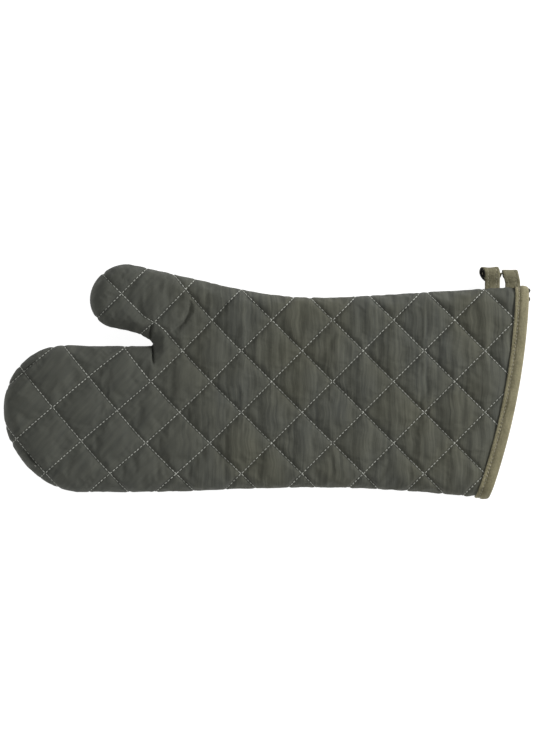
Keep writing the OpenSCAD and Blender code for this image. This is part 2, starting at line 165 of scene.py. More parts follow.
def resampled(points, spacing):
    """The same path with evenly spaced points, ends included."""
    points = np.array(points, float)
    run = run_along(points)
    n = max(2, int(round(run[-1] / spacing)))
    return places_at(np.linspace(0, run[-1], n + 1), run, points)


mouth_thumb_side = np.array([CUFF_X, CUFF_W / 2])
mouth_little_side = np.array([CUFF_X - CUFF_SLANT, -CUFF_W / 2])
wrist_thumb_side = np.array([WRIST_AT, WRIST_W / 2])
wrist_little_side = np.array([WRIST_AT, -WRIST_W / 2])
finger_low = np.array([-FINGER_FOLD_AT, FINGER_Y - FINGER_W / 2])
little_reach = mouth_little_side[0] - WRIST_AT
thumb_reach = CUFF_X - WRIST_AT
palm_reach = WRIST_AT + FINGER_FOLD_AT
turn = np.radians(np.arange(90, 270.1, 3))
fingers = np.stack([-FINGER_LEN + TIP_ROUND * (1 + np.cos(turn)),
                    FINGER_Y + FINGER_W / 2 * np.sin(turn) - TIP_LIFT * np.cos(turn)], 1)
thumb = np.array([thumb_point(THUMB_LEN - THUMB_W / 2 * (1 + math.cos(a)),
                              THUMB_W / 2 * math.sin(a) + THUMB_LEAN * math.cos(a)) for a in turn])
crotch_arc = np.array([[-CROTCH_R, crotch_y + CROTCH_R]
                       + CROTCH_R * np.array([math.cos(a), math.sin(a)])
                       for a in np.radians(np.arange(60, -91, -15))])
little_edge = np.concatenate([
    bezier(finger_low, finger_low + [0.4 * palm_reach, 0],
           wrist_little_side - [0.4 * palm_reach, 0], wrist_little_side),
    bezier(wrist_little_side, wrist_little_side + [0.38 * little_reach, 0],
           mouth_little_side + little_reach * LITTLE_BACK, mouth_little_side)[1:]])
thumb_top = thumb_point(THUMB_FOLD_AT, THUMB_W / 2)
thumb_edge = np.concatenate([
    bezier(mouth_thumb_side, mouth_thumb_side + thumb_reach * THUMB_BACK,
           wrist_thumb_side + [0.22 * thumb_reach, 0], wrist_thumb_side),
    bezier(wrist_thumb_side, wrist_thumb_side - [0.33 * WRIST_AT, 0],
           thumb_top - 0.33 * WRIST_AT * thumb_along, thumb_top)[1:]])
thumb_low = thumb_point(THUMB_FOLD_AT, -THUMB_W / 2)
SPACING = 2.6
seam = np.concatenate([
    resampled(thumb_edge, SPACING)[:-1],
    resampled([thumb_top, *thumb, thumb_low], SPACING)[:-1],
    resampled([thumb_low, crotch_arc[0]], SPACING)[:-1],
    resampled(crotch_arc, 0.8),
    resampled([crotch_arc[-1], fingers[0]], SPACING)[1:-1],
    resampled(fingers, SPACING)[:-1],
    resampled([fingers[-1], finger_low], SPACING)[:-1],
    resampled(little_edge, SPACING)]) + SHIFT
corner_low, corner_high = mouth_little_side + SHIFT, mouth_thumb_side + SHIFT
mouth_vec = corner_high - corner_low
mouth_len = float(np.linalg.norm(mouth_vec))
mouth_dir = mouth_vec / mouth_len
mouth_out = np.array([mouth_dir[1], -mouth_dir[0]])


def mouth_point(share):
    """A point on the bowed mouth, from the little-finger side (0) to the thumb side (1)."""
    return corner_low + share * mouth_vec + 4 * CUFF_BOW * share * (1 - share) * mouth_out


mouth = resampled([mouth_point(s) for s in np.linspace(0, 1, 80)], SPACING)
outline = np.concatenate([seam, mouth[1:-1]])
print("outline points:", len(outline), "mouth length, mm:", round(mouth_len, 1))


# %% [markdown]
# ## The quilting lines
# A quilting machine with several needles sews zigzags across the cloth. Two neighbouring zigzags nearly
# touch where they turn, every third crossing, and cross everywhere else, which makes diamonds 50 mm wide.
# In the fingers the cloth was cut a little askew, so the diamonds lean over. One function places any point
# of the ideal pattern on the mitt and another finds its way back, so that every thread, valley and puff
# agrees.

# %% Quilting pattern
DIAMOND = np.array([25.0, 25.2])  # half a diamond's width and height
STRIP, TURN_GAP = 75.0, 0.2  # between the columns where the zigzags turn, and half the gap they leave there
STRIP_AT, NODE_Y = 129.6, 25.2  # one place where two zigzags turn
SIDE, STEPS = 35.5, 14  # a diamond's side, and the mesh rows along it


def ramp(x, low, high):
    """From 0 at the low value to 1 at the high one, and no further."""
    return np.clip((x - low) / (high - low), 0, 1)


def smooth(x, low, high):
    """The same ramp with soft ends."""
    t = ramp(x, low, high)
    return t * t * (3 - 2 * t)


def askew(p):
    """How far the cloth's pattern is displaced at a point of the ideal pattern."""
    x, y = p[:, 0], p[:, 1]
    lean = 0.12 * ramp(-x, 29.7, 124.4)  # grows from the palm to the fingers
    dx = lean * (y + 11.9) - 0.06 * np.maximum(0, -120.3 - x)
    dy = 0.085 * np.maximum(0, -95.6 - x) * np.clip((y + 85.3) / 90.6, 0, 1.1)
    thumb_part = smooth(-x, 78, 104) * smooth(y, 38, 58)  # the thumb keeps a shift of its own
    return np.stack([dx * (1 - thumb_part) + 2.0 * thumb_part, dy * (1 - thumb_part) - 3.6 * thumb_part], 1)


def squeeze(x):
    """Leaves a narrow gap beside each column where the zigzags turn."""
    strip = np.floor((x - STRIP_AT) / STRIP)
    start = STRIP_AT + strip * STRIP
    return start + TURN_GAP + (x - start) * (STRIP - 2 * TURN_GAP) / STRIP


def unsqueeze(x):
    """The way back from squeeze."""
    strip = np.floor((x - STRIP_AT) / STRIP)
    start = STRIP_AT + strip * STRIP
    return start + np.clip((x - start - TURN_GAP) * STRIP / (STRIP - 2 * TURN_GAP), 0, STRIP)


def placed(p):
    """Points of the ideal pattern, placed on the mitt."""
    q = np.stack([squeeze(p[:, 0]), p[:, 1]], 1)
    return q + askew(q)


def unplaced(q):
    """The way back from placed, by repeated correction."""
    p = q
    for _ in range(25):
        p = q - askew(p)
    return np.stack([unsqueeze(p[:, 0]), p[:, 1]], 1)


def lattice(p):
    """Pattern coordinates: each is a whole number on one family of quilting lines."""
    x = (p[:, 0] - STRIP_AT) / DIAMOND[0]
    y = (p[:, 1] - NODE_Y) / DIAMOND[1]
    return np.stack([(x + y) / 2, (x - y) / 2], 1)


def inside(points, polygon=outline):
    """Which points lie inside a polygon, by counting the edges to their right."""
    x, y = points[:, 0][:, None], points[:, 1][:, None]
    a, b = polygon, np.roll(polygon, -1, axis=0)
    crosses = (a[:, 1] > y) != (b[:, 1] > y)
    with np.errstate(divide="ignore", invalid="ignore"):
        at = a[:, 0] + (y - a[:, 1]) * (b[:, 0] - a[:, 0]) / (b[:, 1] - a[:, 1])
    return ((crosses & (x < at)).sum(1) % 2) == 1


def onward(a, b):
    """A point well beyond b, straight on from a."""
    return b + 25 * (b - a) / np.linalg.norm(b - a)


extended = np.concatenate([[onward(seam[1], seam[0])], seam, [onward(seam[-2], seam[-1])]])
BATCH = 2000  # points measured at a time, to spare memory


def seam_distance(points):
    """Distance to the side seam and the direction away from it, for each point."""
    a, b = extended[:-1], extended[1:]
    ab = b - a
    normals = np.stack([-ab[:, 1], ab[:, 0]], 1) / np.linalg.norm(ab, axis=1)[:, None]
    near, away = np.empty(len(points)), np.empty((len(points), 2))
    for start in range(0, len(points), BATCH):
        batch = slice(start, start + BATCH)
        p = points[batch]
        t = np.clip(((p[:, None] - a) * ab).sum(2) / (ab * ab).sum(1), 0, 1)
        gap = p[:, None] - (a + t[..., None] * ab)
        far = np.linalg.norm(gap, axis=2)
        best = far.argmin(1)
        rows = np.arange(len(p))
        nearest = far[rows, best]
        straight = gap[rows, best] / np.maximum(nearest, 1e-9)[:, None]
        near[batch] = nearest
        away[batch] = np.where((nearest > 0.05)[:, None], straight, normals[best])
    return near, away


def gap_to(points, others):
    """Distance from each point to the nearest of the others."""
    return np.concatenate([np.linalg.norm(points[i:i + BATCH, None] - others, axis=2).min(1)
                           for i in range(0, len(points), BATCH)])


# %% Thread runs
def thread_runs():
    """Each straight run of quilting thread, from one turn to the next, as (points, which way it leans)."""
    runs = []
    for strip in range(-5, 2):
        for row in range(-5, 6):
            left = np.array([STRIP_AT + strip * STRIP, NODE_Y + (row + 0.5 * (strip % 2)) * 2 * DIAMOND[1]])
            for lean in (1, -1):
                t = np.linspace(0, 1, 3 * STEPS + 1)[:, None]
                path = left + t * np.array([STRIP, lean * 3 * DIAMOND[1]])
                path[[0, -1], 0] += [1e-6, -1e-6]  # both ends stay in this strip
                runs.append((placed(path), lean))
    return runs


FINE = 0.25  # spacing of the points when a run is drawn finely
runs = thread_runs()
print("thread runs:", len(runs))

# %% [markdown]
# ## A mesh that follows the stitches
# A panel's mesh has its points on the quilting lines and in even rows between them, and close rows along
# the edge where the cloth turns down to the seam. A Delaunay triangulation joins them, with the outline,
# the thread runs and the cut between hand and thumb kept as edges, so every valley is sharp where the
# thread pulls it down.

# %% Crease lines by the crotch
creases = [  # points in millimetres, half width, depth
    (((-92.8, 31.5), (-94.4, 35.5), (-94.6, 40.5), (-93.4, 47.0)), 0.85, 8.0),
    (((-92.9, 29.6), (-92.8, 24.0), (-92.4, 14.0)), 0.9, 6.0),
    (((-92.0, 31.0), (-88.0, 30.4), (-83.0, 31.5)), 1.0, 0.7),
    (((-92.2, 33.0), (-89.0, 34.2), (-85.5, 37.0)), 1.0, 0.6),
    (((-97.2, 17.0), (-97.8, 11.0), (-97.6, 4.0)), 2.2, 0.9),
    (((-61.8, 66.5), (-62.6, 58.0), (-67.0, 49.0), (-76.5, 41.0)), 1.7, 2.9),
    (((-86.0, 40.0), (-80.0, 33.0), (-73.0, 27.5)), 2.2, 0.8),
    (((-99.0, 50.0), (-103.0, 58.0), (-108.0, 64.0)), 2.4, 0.8),
    (((-103.0, 20.5), (-108.0, 12.0), (-112.5, 2.0)), 2.6, 0.7)]
FROM_CROTCH = 4.0  # creases deeper than this run out of the crotch itself


def crease_depth(points):
    """How deep the creases press each point, tapering to nothing at their ends."""
    total = np.zeros(len(points))
    for path, half_width, depth in creases:
        path = resampled(path, 0.8)
        gap = np.linalg.norm(points[:, None] - path, axis=2)
        share = gap.argmin(1) / (len(path) - 1)
        if depth > FROM_CROTCH:
            taper = 1.4 * (1 - share) ** 0.6
        else:
            taper = 1.15 * np.sin(np.pi * share) ** 0.5
        taper = np.clip(taper, 0, 1)
        total = np.maximum(total, depth * taper * np.exp(-((gap.min(1) / half_width) ** 2)))
    return total


# %% Points for the mesh
crotch_tip = np.array([0.0, crotch_y + CROTCH_R]) + SHIFT
cut_line = np.array([crotch_tip + s * thumb_across for s in np.arange(0, 66, SPACING)])
ROWS = EDGE_R * (1 - np.cos(np.radians(np.arange(11, 82, 10))))


def line_stops(fine):
    """Which points of a finely drawn thread run the mesh takes; None stands for a place off the cloth."""
    dist, _ = seam_distance(fine)
    ok = inside(fine)
    node_step = int(round(len(fine) / (3 * STEPS)))
    stops = []
    for i in range(len(fine)):
        if not ok[i]:
            stops.append(None)
        elif dist[i] < EDGE_R:
            on_row = i and ok[i - 1] and np.any((ROWS - dist[i]) * (ROWS - dist[i - 1]) <= 0)
            if on_row or (i and not ok[i - 1]) or (i + 1 < len(fine) and not ok[i + 1]):
                stops.append(i)
        elif i % node_step == 0:
            stops.append(i)
    return stops + ([len(fine) - 1] if ok[-1] else [])


def filling_points():
    """Even rows of points between the quilting lines, where the panel is level."""
    a, b = np.mgrid[-14 * STEPS:8 * STEPS, -14 * STEPS:14 * STEPS]
    between = (a % STEPS != 0) & (b % STEPS != 0)
    u, v = a[between] / STEPS, b[between] / STEPS
    ideal = np.stack([STRIP_AT + DIAMOND[0] * (u + v), NODE_Y + DIAMOND[1] * (u - v)], 1)
    strips = (ideal[:, 0] - STRIP_AT) / STRIP
    at_turn = abs(strips - np.round(strips)) < 1e-6
    near = (abs(ideal[:, 0]) < 225) & (abs(ideal[:, 1]) < 110)
    points = placed(ideal[near]) - np.outer(at_turn[near], [TURN_GAP, 0])
    points = points[inside(points)]
    points = points[seam_distance(points)[0] > EDGE_R + 0.8]
    return points[gap_to(points, mouth) > 1.4]


def edge_rows():
    """Rows of points along the seam, close together where the cloth turns down."""
    step = extended[2:] - extended[:-2]
    normal = np.stack([-step[:, 1], step[:, 0]], 1) / np.linalg.norm(step, axis=1)[:, None]
    rows = []
    for inset in (*ROWS, EDGE_R):
        row = seam + inset * normal
        rows.append(row[(seam_distance(row)[0] > inset - 0.04) & inside(row)])
    rows = np.concatenate(rows)
    return rows[gap_to(rows, mouth) > 1.0]


def crease_points():
    """Close rows of points along the deeper creases."""
    rows = []
    for path, _, depth in creases:
        if depth > 2:
            line = resampled(path, 0.9)
            side = np.gradient(line, axis=0)
            side = np.stack([-side[:, 1], side[:, 0]], 1) / np.linalg.norm(side, axis=1)[:, None]
            rows += [line + k * side for k in (-1.6, -0.8, 0, 0.8, 1.6)]
    rows = np.concatenate(rows)
    return rows[inside(rows) & (seam_distance(rows)[0] > 0.5)]


# %% Triangulate the panel
def panel_mesh():
    """Points, triangles, which points the thread holds, and the edges that it runs along."""
    spots, edges = list(outline), []
    for path, _ in runs:
        fine = resampled(path, FINE)
        last = None
        for i in line_stops(fine):
            if i is None:
                last = None
            elif last is None or i - last >= 3:
                if last is not None:
                    edges.append((len(spots) - 1, len(spots)))
                spots.append(fine[i])
                last = i
    cut_from = len(spots)
    spots += list(cut_line[inside(cut_line)])
    edges += [(i, i + 1) for i in range(cut_from, len(spots) - 1)]
    fixed = np.array(spots[len(outline):])
    dense = crease_points()
    dense = dense[gap_to(dense, fixed) > 0.45]
    fixed = np.concatenate([fixed, dense])
    rows, filling = edge_rows(), filling_points()
    spots += [*dense, *rows[gap_to(rows, fixed) > 1.0], *filling[gap_to(filling, fixed) > 0.9]]
    points, lines, faces, point_origins, line_origins, _ = delaunay_2d_cdt(
        [Vector(p) for p in np.array(spots).tolist()], edges, [list(range(len(outline)))], 1, 1e-3)
    held = np.array([any(len(outline) <= k < cut_from for k in origins) for origins in point_origins])
    sewn = {tuple(sorted(e)) for e, origins in zip(lines, line_origins) if origins and held[list(e)].all()}
    return np.array([p[:] for p in points]), np.array(faces), held, sewn


flat_points, triangles, held_points, sewn_edges = panel_mesh()
sides = flat_points[triangles]
turn_sign = np.cross(sides[:, 1] - sides[:, 0], sides[:, 2] - sides[:, 0])
triangles = np.where((turn_sign > 0)[:, None], triangles, triangles[:, ::-1])[abs(turn_sign) > 1e-4]
inset, away = seam_distance(flat_points)
grid = lattice(unplaced(flat_points))
line_gap = np.abs(grid - np.round(grid)).min(1) * SIDE
print("panel points:", len(flat_points), "triangles:", len(triangles), "held:", int(held_points.sum()))

# %% [markdown]
# ## From a flat pattern to a padded panel
# Each layer uses the same triangles, so the layers never cross. Away from the edge a layer is level; in
# the last 14 mm it turns down to the seam in a quarter of an ellipse. Between the quilting lines the
# wadding pushes the cloth up, on the lines the thread holds it down, and under the binding it is pressed
# thin. The lower panel puffs too, but the table flattens it.

# %% Layer positions
PUFF, LINE_SINK = 2.4, 1.7  # how far the wadding lifts the cloth, and how far the thread pulls it down
PINCH, PINCH_FROM, PINCH_TO = 1.3, 11.0, 16.0  # how much the binding presses, and where that ends
SEAM_GROOVE = 0.9
BUNCH, BUNCH_R = 2.0, 3.2  # how far the cloth draws together at the crotch, and over what distance
mouth_gap = gap_to(flat_points, mouth)
pressed = 1 - smooth(mouth_gap, PINCH_FROM, PINCH_TO)
turned = np.clip(1 - inset / EDGE_R, 0, 1)
level = np.sqrt(1 - turned**2)
spread = smooth(inset, 0.0, 9.0) * (1 - pressed)
share_u, share_v = (grid % 1).T
dome = np.clip(16 * share_u * (1 - share_u) * share_v * (1 - share_v), 0, 1) ** 0.7
pillow = 0.66 * (1 - np.exp(-line_gap / 1.5)) + 0.34 * dome
fullness = 0.62 + 0.38 * smooth(flat_points[:, 0], -110, -60)  # less in the fingers and thumb
crease = crease_depth(flat_points)
on_seam = inset < 0.02
from_crotch = np.linalg.norm(flat_points - (crotch_arc[1] + SHIFT), axis=1)
bunched = BUNCH * np.exp(-((from_crotch / BUNCH_R) ** 2))


def wave(points, *terms):
    """A smooth made-up ripple, the same in every run: each term is (length along x, along y, shift)."""
    return sum(np.sin(2 * np.pi * (points[:, 0] / lx + points[:, 1] / ly) + shift)
               for lx, ly, shift in terms) / len(terms)


def ripple(points, across, along, turn_degrees, seed):
    """Soft folds from -1 to 1, some way apart across and long the other way, turned to a direction."""
    a = math.radians(turn_degrees)
    u = (points[:, 0] * math.cos(a) + points[:, 1] * math.sin(a)) / across
    v = (points[:, 1] * math.cos(a) - points[:, 0] * math.sin(a)) / along
    return np.array([noise.noise(Vector((p, q, seed))) for p, q in zip(u, v)])


in_hand = smooth(flat_points[:, 0], -125, -70)
hand_folds = 0.9 * ripple(flat_points, 4.6, 42, -2, 1.5) + 0.5 * ripple(flat_points, 9.5, 60, 4, 6.5)
finger_folds = 0.42 * ripple(flat_points, 5.5, 24, -42, 3.5)
folds = hand_folds * in_hand + finger_folds * (1 - in_hand)
slack = wave(flat_points, (61, 83, 0.4), (-37, 55, 2.1), (90, -44, 4.0), (29, -71, 1.1))


def layer_points(depth, side, puff=0.0, sink=0.0, follow_crease=1.0):
    """A layer's points in millimetres: side is 1 for the palm and -1 for the back of the mitt."""
    below = depth + PINCH * pressed
    outward = np.stack([-away[:, 0] * turned, -away[:, 1] * turned, side * level], 1)
    xy = flat_points + away * (below * turned)[:, None]
    z = SEAM_Z + side * (HALF_HEIGHT[side] - below) * level
    cushion = fullness * (puff * pillow * (1 + 0.13 * slack) - sink)
    wrinkle = 0.5 * np.sign(puff) * folds * pillow
    points = np.column_stack([xy, z]) + outward * (spread * (cushion + wrinkle))[:, None]
    points[:, 2] -= side * follow_crease * crease * level
    points[on_seam, :2] += away[on_seam] * SEAM_GROOVE
    points[:, :2] -= away * bunched[:, None]
    return points


def table_side(points, lowest):
    """Flattens what would go through the table."""
    points = points.copy()
    points[:, 2] = np.maximum(points[:, 2], lowest)
    return points


palm_start = layer_points(0, 1, puff=PUFF, sink=LINE_SINK)
back_face = table_side(layer_points(0, -1, puff=PUFF, sink=LINE_SINK, follow_crease=0.5), 0.02)
print("palm face, mm:", palm_start[:, 2].min().round(1), "to", palm_start[:, 2].max().round(1))


# %% Mesh helpers
def cloth_mesh(name, points, faces):
    """A mesh object from points in millimetres."""
    mesh = bpy.data.meshes.new(name)
    mesh.from_pydata((points * mm).tolist(), [], faces.tolist() if isinstance(faces, np.ndarray) else faces)
    obj = bpy.data.objects.new(name, mesh)
    bpy.context.scene.collection.objects.link(obj)
    return obj


def read(items, key, width=1, kind=float):
    """A value, or a row of values, of each of a mesh's points, edges or faces."""
    values = np.empty(len(items) * width, kind)
    items.foreach_get(key, values)
    return values.reshape(-1, width) if width > 1 else values


def add_values(mesh, name, kind, domain, values):
    """A new attribute, with its values."""
    mesh.attributes.new(name, kind, domain).data.foreach_set("value", values)


def only(obj):
    """Makes a piece the only selected one."""
    select_none()
    obj.select_set(True)
    bpy.context.view_layer.objects.active = obj


def smooth_shaded(obj):
    only(obj)
    bpy.ops.object.shade_smooth()
    return obj


def turned_over(faces):
    """The same faces, pointing the other way."""
    return faces[:, ::-1]


# %% [markdown]
# ## Let the palm cloth settle
# Drawn by formula, every diamond would look the same. Real twill is a little longer than the space
# between two rows of stitches, so it buckles into small soft folds. Blender's cloth simulation gives
# these: the seam, the mouth, the deep creases and all the stitched points are pinned, the cloth is made
# 3 percent longer, a light pressure stands for the wadding, and gravity is off. No point may move further
# than 3 mm, and the result is written back into the mesh, so no simulation stays on the piece.

# %% Cloth simulation
SIM_FRAMES = 24
MOST_MOVE = 3.0
SIM_SCALE = 10.0  # the solver works better on a cloth of a few metres
at_mouth = mouth_gap < PINCH_FROM - 1
pinned = held_points | on_seam | at_mouth | (crease > 1.2)


def settled(points, faces, pins):
    """The points after the cloth has settled between its pins."""
    obj = cloth_mesh("settling_cloth", points * SIM_SCALE, faces)
    group = obj.vertex_groups.new(name="pins")
    group.add(np.nonzero(pins)[0].tolist(), 1.0, "REPLACE")
    cloth = obj.modifiers.new("cloth", "CLOTH")
    settings = cloth.settings
    settings.quality = 7
    settings.mass = 0.3
    settings.tension_stiffness = settings.compression_stiffness = 15
    settings.shear_stiffness = 5
    settings.bending_stiffness = 0.4
    settings.air_damping = 2
    settings.use_pressure = True
    settings.uniform_pressure_force = 1.2
    settings.shrink_min = -0.03
    settings.effector_weights.gravity = 0
    settings.vertex_group_mass = "pins"
    cloth.collision_settings.use_collision = False
    cloth.point_cache.frame_end = SIM_FRAMES
    scene = bpy.context.scene
    for frame_number in range(1, SIM_FRAMES + 1):
        scene.frame_set(frame_number)
    result = obj.evaluated_get(bpy.context.evaluated_depsgraph_get()).data
    after = read(result.vertices, "co", 3) / mm / SIM_SCALE
    scene.frame_set(1)
    bpy.data.objects.remove(obj)
    move = after - points
    length = np.linalg.norm(move, axis=1)
    move *= (np.minimum(length, MOST_MOVE) / np.maximum(length, 1e-9))[:, None]
    print("settled: mean move, mm:", length.mean().round(2), "most:", length.max().round(2))
    return points + move


palm_face = settled(palm_start, triangles, pinned)


def palm_normals(points):
    """The direction out of the palm at each point, averaged from the triangles round it."""
    corners = points[triangles]
    face = np.cross(corners[:, 1] - corners[:, 0], corners[:, 2] - corners[:, 0])
    total = np.zeros_like(points)
    for k in range(3):
        np.add.at(total, triangles[:, k], face)
    return total / np.maximum(np.linalg.norm(total, axis=1), 1e-12)[:, None]


# %% [markdown]
# ## Face cloth, wadding and lining
# A panel is cut in two at the root of the thumb, into its main part and its thumb. The face cloth is
# smoothed by one subdivision before the cut, and both halves keep the shading of the whole cloth, so the
# cut doesn't show. The wadding is a closed solid under the face cloth and follows every fold of it. The
# lining is a thin sheet that faces the hand.

# %% The cut between hand and thumb
def in_thumb(points):
    """Which points lie beyond the cut at the root of the thumb."""
    p = np.asarray(points)[:, :2] - crotch_tip
    return (p @ thumb_along > 0) & (p @ thumb_across > 0)


PARTS = ("main", "thumb")
thumb_faces = in_thumb(flat_points[triangles].mean(1))
THUMB_BEND = tuple(tuple(float(v) * mm for v in (*(thumb_point(along, 0) + SHIFT), SEAM_Z))
                   for along in (-6.8, 27.0))


def bend_main(obj):
    """Bakes a piece's transform into its mesh; the piece is not bent."""
    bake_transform(obj)


def bend_thumb(obj):
    """Bakes a piece's transform into its mesh; the piece is not bent."""
    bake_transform(obj)


def numbered(faces):
    """The points that some faces use, and the faces in terms of them."""
    used, renumbered = np.unique(faces, return_inverse=True)
    return used, renumbered.reshape(faces.shape)


# %% Face cloth
def face_cloth(side_name, points, side):
    """Subdivides a panel's face cloth, then cuts it into its main part and its thumb."""
    obj = cloth_mesh(side_name + "_cloth", points, triangles if side > 0 else turned_over(triangles))
    ends = read(obj.data.edges, "vertices", 2, np.int32)
    sharp = [float(tuple(sorted(pair)) in sewn_edges) for pair in ends.tolist()]
    add_values(obj.data, "line_gap", "FLOAT", "POINT", line_gap.astype(np.float32))
    add_values(obj.data, "thumb_part", "INT", "FACE", thumb_faces.astype(np.int32))
    add_values(obj.data, "crease_edge", "FLOAT", "EDGE", sharp)
    only(obj)
    smoothing = obj.modifiers.new("smoothing", "SUBSURF")
    smoothing.levels = smoothing.render_levels = 1
    smoothing.boundary_smooth = "PRESERVE_CORNERS"
    bpy.ops.object.modifier_apply(modifier="smoothing")
    smooth_shaded(obj)
    whole = obj.data
    normals = np.array([v.vector for v in whole.vertex_normals])
    spots = read(whole.vertices, "co", 3) / mm
    gaps = read(whole.attributes["line_gap"].data, "value", 1, np.float32)
    parts = read(whole.attributes["thumb_part"].data, "value", 1, np.int32)
    faces = np.array([tuple(p.vertices) for p in whole.polygons])
    bpy.data.objects.remove(obj)
    pieces = []
    for part, part_name in enumerate(PARTS):
        used, chosen = numbered(faces[parts == part])
        piece = cloth_mesh(f"{side_name}_face_cloth_{part_name}", spots[used], chosen)
        add_values(piece.data, "line_gap", "FLOAT", "POINT", gaps[used])
        smooth_shaded(piece)
        piece.data.normals_split_custom_set_from_vertices(normals[used].tolist())
        pieces.append(piece)
    return pieces, BVHTree.FromPolygons((spots * mm).tolist(), faces.tolist())


palm_cloths, palm_tree = face_cloth("palm", palm_face, 1)
back_cloths, back_tree = face_cloth("back", back_face, -1)
print("face cloth polygons:", [len(c.data.polygons) for c in palm_cloths + back_cloths])


# %% Wadding and lining
def border_edges(faces):
    """The edges with a face on one side only, in the direction of that face."""
    edges = np.concatenate([faces[:, [0, 1]], faces[:, [1, 2]], faces[:, [2, 0]]])
    there = {tuple(e) for e in edges.tolist()}
    return np.array([e for e in edges.tolist() if (e[1], e[0]) not in there])


def wadding_solid(name, faces, outer, inner, side):
    """A closed solid between two surfaces that share their triangles."""
    used, faces = numbered(faces)
    count = len(used)
    border = border_edges(faces)
    a, b = border[:, 0], border[:, 1]
    walls = np.concatenate([np.stack([a, a + count, b + count], 1), np.stack([a, b + count, b], 1)])
    shell = np.concatenate([faces, turned_over(faces) + count, walls])
    if side < 0:
        shell = turned_over(shell)
    return smooth_shaded(cloth_mesh(name, np.concatenate([outer[used], inner[used]]), shell))


def lining_sheet(name, faces, points, side):
    """A sheet that faces the hand."""
    used, faces = numbered(faces)
    return smooth_shaded(cloth_mesh(name, points[used], turned_over(faces) if side > 0 else faces))


UNDER_FACE = 0.9  # how far the wadding lies under the face cloth
INWARD = {"puff": -0.9, "sink": -0.9, "follow_crease": 0.6}  # the inner layers puff towards the hand
waddings, linings = [], []
for side_name, side, face_points in (("palm", 1, palm_face), ("back", -1, back_face)):
    if side > 0:
        outer = face_points - palm_normals(face_points) * UNDER_FACE
    else:
        outer = face_points + UNDER_FACE * np.column_stack([away * turned[:, None], level])
    inner = layer_points(FACE_T + WADDING_T - 0.1, side, **INWARD)
    cavity = layer_points(WALL - 0.3, side, **INWARD)
    for part, part_name in enumerate(PARTS):
        faces = triangles[thumb_faces == part]
        waddings.append(wadding_solid(f"{side_name}_wadding_pad_{part_name}", faces, outer, inner, side))
        linings.append(lining_sheet(f"{side_name}_lining_cloth_{part_name}", faces, cavity, side))
print("wadding triangles:", [len(w.data.polygons) for w in waddings])

# %% [markdown]
# ## Stitches
# A stitch is one short length of thread: it comes up through a needle hole, lies along the cloth and goes
# down the next hole. One stitch is modelled as a capsule that arches a little and dips at both ends, and it
# is copied along every run. A run is first laid on the finished cloth, so each copy bends with the surface.
# On one family of runs the machine pulls the thread tighter, so its stitches look shorter.

# %% One stitch
STITCH_PITCH = 3.3
STITCH_SHOWS = {1: 0.72, -1: 0.84}  # how much of the pitch shows, for runs that lean either way
STITCH_W = {1: 0.70, -1: 0.62}
STITCH_H = 0.5
select_none()
bpy.ops.mesh.primitive_uv_sphere_add(segments=8, ring_count=8, radius=1, rotation=(0, math.pi / 2, 0))
stitch = bpy.context.object
bpy.ops.object.transform_apply(location=False, rotation=True, scale=True)
stitch_shape = np.array([v.co[:] for v in stitch.data.vertices])
roundness = np.sqrt(np.maximum(0, 1 - stitch_shape[:, 0] ** 2))
blunt = (1 - np.abs(stitch_shape[:, 0]) ** 4) ** 0.5 / np.maximum(roundness, 1e-3)
stitch_shape[:, 1:] *= np.where(roundness > 1e-3, blunt, 0)[:, None]
stitch_faces = [tuple(p.vertices) for p in stitch.data.polygons]
stitch_uvs = np.array([d.uv[:] for d in stitch.data.uv_layers[0].data])
bpy.data.objects.remove(stitch)
print("one stitch:", len(stitch_shape), "points,", len(stitch_faces), "faces")


def stitched(name, stitches):
    """One mesh made of copies of the stitch. Each copy is given by its line of points, the direction out of
    the cloth along it, its width and its height."""
    points, faces = [], []
    for line, out, width, height in stitches:
        at = (stitch_shape[:, 0] + 1) / 2 * (len(line) - 1)
        low = np.clip(at.astype(int), 0, len(line) - 2)
        t = (at - low)[:, None]
        middle = line[low] * (1 - t) + line[low + 1] * t
        along = line[-1] - line[0]
        along = along / np.linalg.norm(along)
        across = np.cross(out, along)
        across /= np.linalg.norm(across)
        up = np.cross(along, across)
        bow = 0.55 * np.maximum(0, 1 - stitch_shape[:, 0] ** 2) - 0.3
        body = middle + across * stitch_shape[:, 1:2] * width / 2 \
            + up * (stitch_shape[:, 2:3] * height / 2 + bow[:, None] * height)
        start = len(points) * len(stitch_shape)
        points.append(body)
        faces += [[i + start for i in face] for face in stitch_faces]
    obj = cloth_mesh(name, np.concatenate(points), faces)
    layer = obj.data.uv_layers.new(name="UVMap")
    layer.data.foreach_set("uv", np.tile(stitch_uvs.ravel(), len(points)))
    return smooth_shaded(obj)


# %% Lay the runs on the cloth
def dropped(path, tree, side):
    """A path laid on the cloth, with the direction out of the cloth, or nan where there is no cloth."""
    spots, out = np.full((len(path), 3), np.nan), np.full((len(path), 3), np.nan)
    for i, (x, y) in enumerate(path):
        hit, normal, _, _ = tree.ray_cast(Vector((x * mm, y * mm, side * 0.2)), Vector((0, 0, -side)))
        if hit is not None:
            spots[i] = np.array(hit) / mm
            out[i] = np.array(normal) * (1 if normal.z * side > 0 else -1)
    return spots, out


